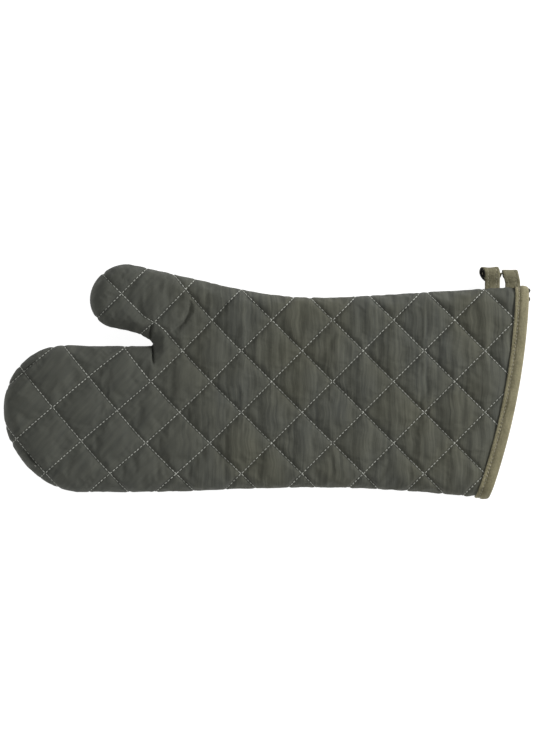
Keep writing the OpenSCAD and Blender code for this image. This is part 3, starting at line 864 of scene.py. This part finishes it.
def quilting_stitches(tree, side, keep_thumb):
    """The stitches of one panel, in its thumb or in the rest of it."""
    rng = np.random.default_rng(7 if side > 0 else 8)
    found = []
    for path, lean in runs:
        fine = resampled(path, FINE)
        ok = inside(fine)
        if ok.sum() < 6:
            continue
        ok &= gap_to(fine, mouth) > 7.5  # the binding hides the rest
        spots, out = dropped(fine, tree, side)
        ok &= ~np.isnan(spots[:, 0])
        step = np.linalg.norm(np.nan_to_num(np.diff(spots, axis=0)), axis=1)
        run = np.concatenate([[0], np.cumsum(np.where(ok[1:] & ok[:-1], step, FINE))])
        index = np.arange(len(run))
        count = max(1, int(round(run[-1] / STITCH_PITCH)))
        pitch, shows = run[-1] / count, STITCH_SHOWS[lean]
        for k in range(count):
            jitter = rng.normal(0, 0.12, 2)
            a = (k + (1 - shows) / 2) * pitch + jitter[0]
            b = (k + (1 + shows) / 2) * pitch + jitter[1] * 0.6
            near = np.interp(np.linspace(a, b, 7), run, index)
            line = places_at(near, index, spots)
            beside = np.clip([np.floor(near), np.ceil(near)], 0, len(ok) - 1).astype(int)
            if not ok[beside].all() or np.isnan(line).any() or in_thumb(line[3:4])[0] != keep_thumb:
                continue
            if (side * (line[:, 2] - SEAM_Z)).min() < 0.6:
                continue
            width = STITCH_W[lean] * (1 + rng.normal(0, 0.06))
            found.append((line, out[int(round(near[3]))], width, STITCH_H))
    return found


stitch_pieces = []
for side_name, side, tree in (("palm", 1, palm_tree), ("back", -1, back_tree)):
    for part, part_name in enumerate(PARTS):
        rows = quilting_stitches(tree, side, part)
        stitch_pieces.append(stitched(f"{side_name}_quilting_stitches_{part_name}", rows))
        print(side_name, part_name, "stitches:", len(rows))

# %% [markdown]
# ## Cuff binding
# The binding is a strip of tape folded in half over the raw edges of both panels and sewn through. It is
# swept round the mouth, over the palm and back under the hand: the cross-section runs up the outside, round
# the fold and down the inside. The needle pulls the tape in along its stitches and leaves small puckers.

# %% Sweep round the mouth
BINDING_W, BINDING_T, BINDING_FIT, BINDING_SEW_AT = 10.0, 1.0, 0.3, 6.9
STRIP_W = 24.0  # the binding's tape before it is folded
back_little = LITTLE_BACK / np.linalg.norm(LITTLE_BACK)
back_thumb = THUMB_BACK / np.linalg.norm(THUMB_BACK)
LEVEL_STEPS, CORNER_STEPS = 150, 12
AT_LITTLE, BETWEEN, AT_THUMB = 0, 1, 2


def mouth_ring():
    """The places of a ring round the mouth, from the little-finger corner over the palm and back under:
    degrees of the corner's turn, distance along the level part, which part, and which side of the mitt."""
    corner = np.linspace(0, 90, CORNER_STEPS + 1)
    middle = np.linspace(EDGE_R, mouth_len - EDGE_R, LEVEL_STEPS + 1)[1:-1]
    half = [(a, 0.0, AT_LITTLE) for a in corner]
    half += [(90.0, s, BETWEEN) for s in middle]
    half += [(a, 0.0, AT_THUMB) for a in corner[::-1]]
    return [(*place, 1) for place in half] + [(*place, -1) for place in half[-2:0:-1]]


ring_places = mouth_ring()


def on_mouth(depth, back):
    """The ring of points at a depth in the cloth and a distance back from the mouth."""
    found = []
    for angle, along, part, side in ring_places:
        a = math.radians(angle)
        s = along if part == BETWEEN else EDGE_R - (EDGE_R - depth) * math.cos(a)
        if part == AT_THUMB:
            s = mouth_len - s
        share = s / mouth_len
        on_cloth = min(max(share, 0), 1)
        place = mouth_point(on_cloth) + (share - on_cloth) * mouth_vec
        if back < 0:
            place = place - back * mouth_out
        else:
            place = place + back * ((1 - share) * back_little + share * back_thumb)
        found.append((*place, SEAM_Z + side * (HALF_HEIGHT[side] - depth) * math.sin(a)))
    return np.array(found)


def swept(name, rings, ends_meet=False):
    """A closed surface through rings of points. A grid is bent into a tube; its ends meet or are filled."""
    if ends_meet:
        rings = np.concatenate([rings, rings[:1]])
    rings = np.concatenate([rings, rings[:, :1]], axis=1)
    rows, columns = rings.shape[:2]
    select_none()
    bpy.ops.mesh.primitive_grid_add(x_subdivisions=columns - 1, y_subdivisions=rows - 1, size=1)
    obj = bpy.context.object
    obj.name = obj.data.name = name
    obj.data.vertices.foreach_set("co", (rings.reshape(-1, 3) * mm).ravel())
    bpy.ops.object.mode_set(mode="EDIT")
    bpy.ops.mesh.select_all(action="SELECT")
    bpy.ops.mesh.remove_doubles(threshold=1e-6)
    if not ends_meet:
        bpy.ops.mesh.select_all(action="DESELECT")
        bpy.ops.mesh.select_non_manifold()
        bpy.ops.mesh.fill_holes(sides=0)
        bpy.ops.mesh.select_all(action="SELECT")
    bpy.ops.mesh.normals_make_consistent(inside=False)
    bpy.ops.object.mode_set(mode="OBJECT")
    return smooth_shaded(obj)


DENT, PUCKER = 0.42, 0.5


def strip_points(places, lift):
    """Rings of the binding for (depth, back) places, with soft waves and a dent along the stitches."""
    rings = []
    around = np.arange(len(ring_places))
    for depth, back in places:
        base, deeper = on_mouth(depth, back), on_mouth(depth + 1, back)
        pull = -lift * (np.sin(around * 0.14 + 0.5 * back) + np.sin(around * 0.079 + 1.3 * back + 2)) / 2
        if depth < 2.5:  # on the outer face
            beside = back - BINDING_SEW_AT
            pull += DENT * math.exp(-(beside / 0.9) ** 2)
            pull += PUCKER * math.exp(-((beside - 0.5) / 2.2) ** 2) \
                * np.cos(2 * np.pi * around / 2.8 + 0.9 * np.sin(around * 0.37))
        rings.append(base + (deeper - base) * pull[:, None])
    return table_side(np.array(rings).reshape(-1, 3), 0.05).reshape(len(places), -1, 3)


inner_face = WALL + BINDING_FIT
end = BINDING_FIT + BINDING_T
FOLD_SECTION = [  # (depth, distance back from the mouth), once round the strip's cross-section
    (0.55, BINDING_W), (0.15, BINDING_W + 0.05), (0.0, BINDING_W - 0.3), (-0.15, 9.2), (-0.2, 8.5),
    (-0.1, 7.8), (0.0, 7.3), (0.1, 6.9), (0.0, 6.5), (-0.2, 6.0), (-0.45, 5.2), (-0.65, 4.2), (-0.75, 3.0),
    (-0.6, 1.8), (-0.3, 0.6), (0.1, -0.5), (0.5, -1.0), (1.2, -end), (2.4, -end - 0.1), (3.6, -end - 0.1),
    (4.8, -end - 0.1), (5.9, -end), (6.7, -1.0), (7.0, -0.4), (inner_face + BINDING_T, 0.6),
    (inner_face + BINDING_T, 5.0), (inner_face + BINDING_T, 9.4), (inner_face + 0.6, BINDING_W),
    (inner_face + 0.1, 9.4), (inner_face, 5.0), (inner_face, 0.3), (5.6, -0.2), (3.5, -0.3), (1.6, -0.2),
    (0.98, 0.4), (0.95, 5.0), (0.95, 9.4)]
binding = swept("cuff_binding_tape", strip_points(FOLD_SECTION, 0.14), ends_meet=True)
print("binding polygons:", len(binding.data.polygons))

# %% The binding's stitches
SEW_PITCH, SEW_W, SEW_H = 3.0, 0.95, 0.6
rng = np.random.default_rng(21)


def ring_stitches(depth, back, shows=0.62):
    """Stitches that follow a ring round the mouth."""
    ring, deeper = on_mouth(depth, back), on_mouth(depth + 1, back)
    ring, deeper = np.concatenate([ring, ring[:1]]), np.concatenate([deeper, deeper[:1]])
    run = run_along(ring)
    count = int(run[-1] / SEW_PITCH)
    pitch = run[-1] / count
    found = []
    for k in range(count):
        at = (k + np.linspace((1 - shows) / 2, (1 + shows) / 2, 5)) * pitch + rng.normal(0, 0.08)
        at = np.clip(at, 0, run[-1])
        line = table_side(places_at(at, run, ring), 0.3)
        out = line[2] - places_at(at[2:3], run, deeper)[0]
        found.append((line, out / np.linalg.norm(out), SEW_W, SEW_H))
    return found


upper_row = ring_stitches(0.1, BINDING_SEW_AT)
inner_row = ring_stitches(inner_face + 0.9, BINDING_SEW_AT - 1)
binding_stitches = stitched("cuff_binding_stitches", upper_row + inner_row)
print("binding stitches:", len(upper_row) + len(inner_row))

# Two short tails of dark thread were left where the seam under the binding was tied off.
TAILS = [  # start, how the middle bows, and the way to the tip
    np.array([(215.4, 76.6, 13), (2.0, -0.6, 0), (1.4, -3.6, -1)]),
    np.array([(215.2, 69.6, 12), (2.2, -0.4, 1), (1.5, -3.8, 0)])]
TAIL_W, TAIL_H = 1.7, 1.3
t = np.linspace(0, 1, 7)[:, None]
thread_tails = stitched("seam_thread_tails", [
    (start + 2 * t * (1 - t) * middle + t * t * tip, np.array([0.0, 0.0, 1.0]), TAIL_W, TAIL_H)
    for start, middle, tip in TAILS])

# %% [markdown]
# ## Hanging loop
# The loop is one length of folded tape with both ends caught in the side seam. It rolls over and back on
# itself, because it was pressed flat in a drawer. Its middle line is a curve through a few chosen points,
# the same ones as in the CAD model, and a flat oval section with a slightly raised edge is swept along it.

# %% The loop's route
TAPE_W = 12.4
LOOP_BASE = np.array([195.1, 80.047, 10.0])
TAPE_ROUTE = [  # place, width direction and how far the tape gathers (1 is its full width)
    ((-8.6, -4.6, 0), (1, 0, 0), 1),
    ((-8.6, -1.5, 0), (1, 0, 0), 1),
    ((-8.6, 1.4, 0.4), (1, 0, 0), 1),
    ((-8.7, 5.5, 2.6), (1, 0, 0), 1),
    ((-8.8, 9.8, 3.9), (1, 0, 0), 1),
    ((-9.6, 12.5, 2.6), (1, 0, 0), 1),
    ((-10.9, 13.3, 0), (1, 0.05, 0), 1),
    ((-12.6, 12.2, -2.6), (1, 0.1, 0), 1),
    ((-13.6, 9.4, -4.2), (1, 0.15, 0), 0.9),
    ((-13.0, 6.6, -5.0), (0.87, 0.5, 0), 0.65),
    ((-10.4, 5.0, -5.2), (0.5, 0.87, 0.1), 0.6),
    ((-7.2, 5.6, -4.8), (0, 0.9, 0.45), 0.7),
    ((-4.2, 7.6, -3.6), (0, 0.5, 0.87), 0.85),
    ((-1.2, 9.0, -2.6), (0, 0, 1), 0.9),
    ((1.6, 9.0, -2.6), (0, 0, 1), 0.9),
    ((4.0, 7.6, -3.8), (-0.3, 0.75, 0.6), 0.65),
    ((5.4, 7.4, -4.6), (-0.75, 0.65, 0), 0.6),
    ((5.6, 9.2, -3.8), (-1, 0.1, 0), 0.85),
    ((5.5, 10.9, -1.8), (-1, 0, 0), 1),
    ((5.6, 11.3, 0.6), (-1, 0, 0), 1),
    ((5.9, 10.3, 2.8), (-1, 0, 0), 1),
    ((6.6, 7.4, 3.2), (-1, 0, 0), 1),
    ((7.5, 3.8, 1.8), (-1, 0, 0), 1),
    ((8.1, 1.4, 0.4), (-1, 0, 0), 1),
    ((8.1, -1.5, 0), (-1, 0, 0), 1),
    ((8.1, -4.6, 0), (-1, 0, 0), 1)]


def through(points, steps):
    """A smooth curve through all the points."""
    points = np.array(points, float)
    padded = np.concatenate([points[:1], points, points[-1:]])
    found = []
    for i in range(len(points) - 1):
        a, b, c, d = padded[i:i + 4]
        for t in np.arange(steps) / steps:
            found.append(0.5 * (2 * b + (c - a) * t + (2 * a - 5 * b + 4 * c - d) * t**2
                                + (3 * b - a - 3 * c + d) * t**3))
    return np.array(found + [points[-1]])


TAPE_STEPS = 5
tape_line = through([place for place, _, _ in TAPE_ROUTE], TAPE_STEPS) + LOOP_BASE
tape_wide = through([wide for _, wide, _ in TAPE_ROUTE], TAPE_STEPS)
tape_gather = through([[gather] for _, _, gather in TAPE_ROUTE], TAPE_STEPS)
tape_along = np.gradient(tape_line, axis=0)
tape_along /= np.linalg.norm(tape_along, axis=1)[:, None]
tape_wide -= tape_along * (tape_wide * tape_along).sum(1)[:, None]
tape_wide /= np.linalg.norm(tape_wide, axis=1)[:, None]
tape_out = np.cross(tape_wide, tape_along)
tape_wide *= tape_gather
tape_run = run_along(tape_line)
print("tape length, mm:", round(float(tape_run[-1]), 1))
TAPE_SECTION = np.array([  # (across, up), once round the tape, with a raised selvedge on its upper side
    (-6.2, 0.0), (-6.0, 0.55), (-5.2, 0.75), (-3.7, 0.72), (-3.4, 0.6), (-3.1, 0.7), (-1, 0.66),
    (1, 0.66), (3.1, 0.7), (3.4, 0.6), (3.7, 0.72), (5.2, 0.75), (6.0, 0.55), (6.2, 0.0),
    (6.0, -0.5), (5.0, -0.7), (2, -0.66), (-2, -0.66), (-5.0, -0.7), (-6.0, -0.5)])
tape_rings = tape_line[:, None] + TAPE_SECTION[:, :1] * tape_wide[:, None] \
    + TAPE_SECTION[:, 1:] * tape_out[:, None]
loop_tape = swept("hanging_loop_tape", tape_rings)
INSIDE_FROM, INSIDE_TO = 6 * TAPE_STEPS, 20 * TAPE_STEPS  # where the tape's underside is in the roll
# A mask that is 1 on the tape's underside inside the roll, where the loop's finish paints shade.
inner_side = loop_tape.data.attributes.new("inner_side", "FLOAT", "POINT")
for vertex, value in zip(loop_tape.data.vertices, inner_side.data):
    step = np.array(vertex.co) / mm - tape_line
    nearest = np.linalg.norm(step, axis=1).argmin()
    under = step[nearest] @ tape_out[nearest] < -0.3
    value.value = float(under and INSIDE_FROM <= nearest < INSIDE_TO)

# %% The loop's stitches
ROW_AT, ROW_W, ROW_H = 3.4, 0.55, 0.38
START_GAP = 3.0
loop_rows = []
for across in (-ROW_AT, ROW_AT):
    for k in range(int((tape_run[-1] - 2 * START_GAP) / SEW_PITCH)):
        at = START_GAP + (k + np.array([0.16, 0.33, 0.5, 0.67, 0.84])) * SEW_PITCH
        line, wide, out = (places_at(at, tape_run, values) for values in (tape_line, tape_wide, tape_out))
        for face in (1, -1):
            loop_rows.append((line + wide * across + out * face * 0.62, out[2] * face, ROW_W, ROW_H))
loop_stitches = stitched("hanging_loop_stitches", loop_rows)
print("loop stitches:", len(loop_rows))

# %% [markdown]
# ## Finishes
# Every finish is a tree of shader nodes on object coordinates, so the weave keeps its real size on each
# piece. A small class lets the shader's values be written as sums, and one method adds any other node.

# %% Shader expressions
class Shade:
    """A value, colour or vector in a material's node tree."""

    def __init__(self, tree, socket):
        self.tree, self.socket = tree, socket

    def node(self, kind, settings=None, values=None, output=0):
        """Adds a node: settings are set first, then the values or links of its sockets."""
        made = self.tree.nodes.new(kind)
        for name, value in (settings or {}).items():
            setattr(made, name, value)
        for key, value in (values or {}).items():
            if isinstance(value, Shade):
                self.tree.links.new(value.socket, made.inputs[key])
            else:
                made.inputs[key].default_value = value
        return Shade(self.tree, made.outputs[output])

    def maths(self, operation, *values):
        return self.node("ShaderNodeMath", {"operation": operation}, dict(enumerate(values)))

    def __add__(self, other):
        return self.maths("ADD", self, other)

    def __sub__(self, other):
        return self.maths("SUBTRACT", self, other)

    def __rsub__(self, other):
        return self.maths("SUBTRACT", other, self)

    def __mul__(self, other):
        return self.maths("MULTIPLY", self, other)

    __radd__, __rmul__ = __add__, __mul__

    def clipped(self, low, high):
        """From 0 at the low value to 1 at the high one, and no further."""
        return self.node("ShaderNodeMapRange", None, {"Value": self, "From Min": low, "From Max": high})

    def wave(self, period):
        """A ripple from 0 to 1 with a period in the value's own units."""
        return self.maths("SINE", self * (2 * math.pi / period)) * 0.5 + 0.5

    def mixed(self, low, high):
        """A colour between two others, by this value."""
        return self.node("ShaderNodeMix", {"data_type": "RGBA"}, {0: self, 6: low, 7: high}, 2)

    def blended(self, other, share):
        """This colour with a share of another one."""
        return self.node("ShaderNodeMix", {"data_type": "RGBA"}, {0: share, 6: self, 7: other}, 2)

    def noise(self, x_size, y_size, z_size, detail=2.0, shift=0.0):
        """Soft noise with a size in millimetres along each axis, from about 0 to 1."""
        place = self.node("ShaderNodeMapping", None, {"Vector": self, "Location": (shift, shift, shift),
                                                      "Scale": (1 / x_size, 1 / y_size, 1 / z_size)})
        return self.node("ShaderNodeTexNoise", None, {"Vector": place, "Scale": 1.0, "Detail": detail})

    def turned(self, degrees):
        """The same coordinates, turned about the upright axis."""
        angles = (0, 0, math.radians(degrees))
        return self.node("ShaderNodeMapping", None, {"Vector": self, "Rotation": angles})

    def attribute(self, name):
        """A value that the mesh keeps at each of its points."""
        return self.node("ShaderNodeAttribute", {"attribute_name": name}, None, "Fac")

    def split(self):
        """The x, y and z of a vector."""
        return [self.node("ShaderNodeSeparateXYZ", None, {0: self}, k) for k in range(3)]


def new_finish(name, roughness, sheen=0.0):
    """A new material: its principled shader, and object coordinates in millimetres."""
    material = bpy.data.materials.new(name)
    material.use_nodes = True
    tree = material.node_tree
    shader = tree.nodes["Principled BSDF"]
    shader.inputs["Roughness"].default_value = roughness
    shader.inputs["Specular IOR Level"].default_value = 0.25
    shader.inputs["Sheen Weight"].default_value = sheen
    shader.inputs["Sheen Roughness"].default_value = 0.5
    start = Shade(tree, None)
    metres = start.node("ShaderNodeTexCoord", None, None, "Object")
    place = start.node("ShaderNodeVectorMath", {"operation": "SCALE"}, {0: metres, "Scale": 1000.0})
    return material, shader, place


def apply_to(shader, colour, height, strength):
    """Gives a shader its colour and its fine relief, a height in millimetres."""
    tree = colour.tree
    tree.links.new(colour.socket, shader.inputs["Base Color"])
    bump = colour.node("ShaderNodeBump", None, {"Strength": strength, "Distance": mm, "Height": height})
    tree.links.new(bump.socket, shader.inputs["Normal"])


def rgba(r, g, b):
    return (r, g, b, 1.0)


# %% [markdown]
# ### Face twill
# The face is a treated cotton twill, dark grey with an olive cast. Its warp is uneven, which shows as soft
# streaks across the mitt, 2 to 8 mm apart, stronger over the hand than in the fingers. Fine diagonal ribs
# give the twill, and painted shade darkens the cloth in the ditches beside the thread. The streaks are noise
# that is stretched along one axis, since a regular stripe would look printed.

# %% Twill
def twill():
    """The face cloth's finish."""
    material, shader, place = new_finish("mitt_twill", 0.86, 0.06)
    x, y, _ = place.split()
    in_hand = x.clipped(-105.0, -25.0)
    wander = place.noise(22.0, 15.0, 20.0, 1.0, 21.0) * 5.0
    wavy = place.node("ShaderNodeCombineXYZ", None, {0: x + wander, 1: y, 2: 0.0})
    streaks = wavy.noise(2.3, 45.0, 30.0, 2.0) * 0.72 + wavy.noise(8.0, 90.0, 30.0, 1.0, 7.0) * 0.28
    crinkle = place.turned(42).noise(4.0, 26.0, 30.0, 2.0, 3.0)
    lines = streaks * in_hand + (crinkle * 0.45 + 0.275) * (1 - in_hand)
    patches = place.noise(46.0, 60.0, 40.0, 2.0, 11.0).clipped(0.36, 0.66)
    olive = patches * in_hand
    base = olive.mixed(rgba(0.0820, 0.0855, 0.0745), rgba(0.0990, 0.0960, 0.0620))
    tone = lines.clipped(0.33, 0.67)
    tinted = tone.mixed(rgba(0.054, 0.057, 0.050), rgba(0.125, 0.128, 0.103))
    # Painted shade: within 1.6 mm of the quilting lines the colour is darkened, by up to 22 percent at the
    # line.
    ditch_shade = place.attribute("line_gap").clipped(0.0, 1.6)
    colour = (ditch_shade * 0.22 + 0.78).mixed(rgba(0, 0, 0), base.blended(tinted, 0.62))
    ribs = (x + y * 0.9).wave(0.95) * 0.5 + (x - y * 2.2).wave(2.1) * 0.15
    height = ribs * 0.10 + lines * 0.75
    apply_to(shader, colour, height, 0.75)
    return material


# %% [markdown]
# ### Tape, wadding, lining and thread
# The tape is a plain weave with clear crossing threads. Its underside, inside the roll of the loop, gets
# painted shade, nearly black, so the loop's finish reads an attribute that is 1 there. The binding is
# given lighter tape colours than the loop. The wadding is loose fibre, rough and pale. The lining is a
# thin plain weave. The quilting thread is pale grey and twisted, and the twist follows each stitch's own UV
# map.

# %% Other cloths
def tape_cloth(name, dark, light, shaded_inside=False):
    """Worn tape, between a dark and a light colour, with painted shade on the loop's rolled underside if
    asked.
    """
    material, shader, place = new_finish(name, 0.88, 0.05)
    x, y, z = place.split()
    weave = x.wave(0.9) * (y + z).wave(0.9)
    wear = place.noise(9.0, 14.0, 9.0, 3.0).clipped(0.3, 0.7)
    speck = place.noise(1.3, 1.3, 1.3, 2.0, 5.0).clipped(0.3, 0.7)
    colour = (wear * 0.65 + speck * 0.35).mixed(dark, light)
    # Painted shade: the tape's underside inside the roll is mixed almost to black.
    if shaded_inside:
        colour = place.attribute("inner_side").mixed(colour, rgba(0.022, 0.020, 0.018))
    apply_to(shader, colour, weave * 0.35 + speck * 0.35 + wear * 0.5, 0.7)
    return material


def wadding_fibre():
    """Loose fibre in soft tufts."""
    material, shader, place = new_finish("wadding_fibre", 0.95, 0.2)
    tufts = place.noise(5.0, 5.0, 5.0, 4.0)
    fibres = place.noise(0.7, 2.6, 0.9, 3.0, 2.0)
    pale = (tufts * 0.5 + fibres * 0.5).clipped(0.3, 0.7)
    colour = pale.mixed(rgba(0.62, 0.59, 0.51), rgba(0.85, 0.83, 0.76))
    apply_to(shader, colour, tufts * 0.6 + fibres * 0.5, 0.8)
    return material


def lining_weave():
    """Thin plain cotton with a few thick threads."""
    material, shader, place = new_finish("lining_weave", 0.9, 0.05)
    x, y, _ = place.split()
    weave = x.wave(1.1) * y.wave(1.1)
    slubs = place.noise(2.0, 30.0, 20.0, 2.0).clipped(0.3, 0.7)
    colour = slubs.mixed(rgba(0.42, 0.40, 0.34), rgba(0.56, 0.54, 0.47))
    apply_to(shader, colour, weave * 0.4 + slubs * 0.3, 0.6)
    return material


def thread_finish(name, dark, light, by_uv=True):
    """Twisted thread. The twist follows the stitch's length where the piece has a UV map."""
    material, shader, place = new_finish(name, 0.7, 0.1)
    uneven = place.noise(2.4, 2.4, 2.4, 2.0).clipped(0.3, 0.7)
    colour = uneven.mixed(dark, light)
    if by_uv:
        u, v, _ = place.node("ShaderNodeUVMap", {"uv_map": "UVMap"}).split()
        twist = (u + v * 3.0).wave(0.5)
    else:
        x, y, z = place.split()
        twist = (x + y + z).wave(0.7)
    apply_to(shader, colour, twist * 0.15 + uneven * 0.1, 0.6)
    return material


mitt_twill, wadding_finish, lining_finish = twill(), wadding_fibre(), lining_weave()
khaki_tape = tape_cloth("khaki_tape", rgba(0.183, 0.166, 0.096), rgba(0.330, 0.302, 0.190))
folded_tape = tape_cloth("folded_khaki_tape", rgba(0.150, 0.138, 0.082), rgba(0.270, 0.252, 0.165),
                         shaded_inside=True)
quilting_thread = thread_finish("quilting_thread", rgba(0.42, 0.43, 0.385), rgba(0.66, 0.67, 0.61))
tape_thread = thread_finish("tape_thread", rgba(0.26, 0.24, 0.17), rgba(0.40, 0.37, 0.28))
seam_thread = thread_finish("seam_thread", rgba(0.035, 0.035, 0.03), rgba(0.07, 0.07, 0.06), by_uv=False)
print("finishes:", [finish.name for finish in (mitt_twill, wadding_finish, lining_finish, khaki_tape,
                                               folded_tape, quilting_thread, tape_thread, seam_thread)])

# %% Floor
floor_material = bpy.data.materials.new("white_paper")
floor_material.use_nodes = True
paper = floor_material.node_tree.nodes["Principled BSDF"]
paper.inputs["Base Color"].default_value = rgba(0.35, 0.35, 0.35)
paper.inputs["Roughness"].default_value = 0.9
paper.inputs["Emission Color"].default_value = rgba(1, 1, 1)
paper.inputs["Emission Strength"].default_value = 0.92
floor.data.materials.append(floor_material)


# %% [markdown]
# ## Finish every piece
# Each piece gets its finish, and the CAD solids that it stands for are hidden. The binding, its stitches and
# the thread tails ride on the hand's body; the other pieces have their transforms baked into their meshes.
# What
# crosses a fold line bends between two bodies; the rest rides on one.

# %% Finish the pieces
def flat_area(chosen):
    """The flat area of some triangles, in square metres."""
    a, b, c = flat_points[triangles[chosen]].transpose(1, 0, 2)
    return float(np.abs(np.cross(b - a, c - a)).sum() / 2) * mm**2


def dress(obj, material):
    """Gives a piece its finish."""
    obj.data.materials.clear()
    obj.data.materials.append(material)


SECTIONS = (("hand", "fingers"), ("thumb",))
areas = [flat_area(~thumb_faces), flat_area(thumb_faces)]
print("flat areas, square metres:", [round(a, 4) for a in areas])
for index, side_name in enumerate(("palm", "back")):
    for part, bend in enumerate((bend_main, bend_thumb)):
        cloth = (palm_cloths, back_cloths)[index][part]
        pad, lining = waddings[2 * index + part], linings[2 * index + part]
        stitches = stitch_pieces[2 * index + part]
        for piece, finish, layer, slot in ((cloth, mitt_twill, "face_fabric", "mitt_cloth"),
                                           (pad, wadding_finish, "wadding", "wadding"),
                                           (lining, lining_finish, "lining", "lining"),
                                           (stitches, quilting_thread, "quilting_thread", "quilting_thread")):
            dress(piece, finish)
            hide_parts(*[f"{side_name}_{layer}_{section}" for section in SECTIONS[part]])
            bend(piece)

# %% Binding, loop and thread tails
for piece, finish, slot, nodes in (
        (binding, khaki_tape, "binding_tape", ["cuff_binding"]),
        (binding_stitches, tape_thread, "binding_thread", ["binding_thread"]),
        (loop_tape, folded_tape, "binding_tape", ["hanging_loop", "hanging_loop_ends"]),
        (loop_stitches, tape_thread, "binding_thread", ["loop_thread"])):
    dress(piece, finish)
    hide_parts(*nodes)
dress(thread_tails, seam_thread)
for piece in (binding, binding_stitches, thread_tails):
    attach(piece, "hand")
for piece in (loop_tape, loop_stitches):
    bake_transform(piece)
binding_flat = (STRIP_W * mm, run_along(on_mouth(0, 5))[-1] * mm)
loop_flat = (TAPE_W * mm, tape_run[-1] * mm)
for name, flat in (("binding", binding_flat), ("loop", loop_flat)):
    print(name, "laid flat, mm:", [round(float(v) / mm, 1) for v in flat])

# %% Materials on the CAD pieces that stay
for node in ("side_seam_thread_hand", "side_seam_thread_fingers", "side_seam_thread_thumb"):
    for slot in bpy.data.objects[node].material_slots:
        slot.material = seam_thread
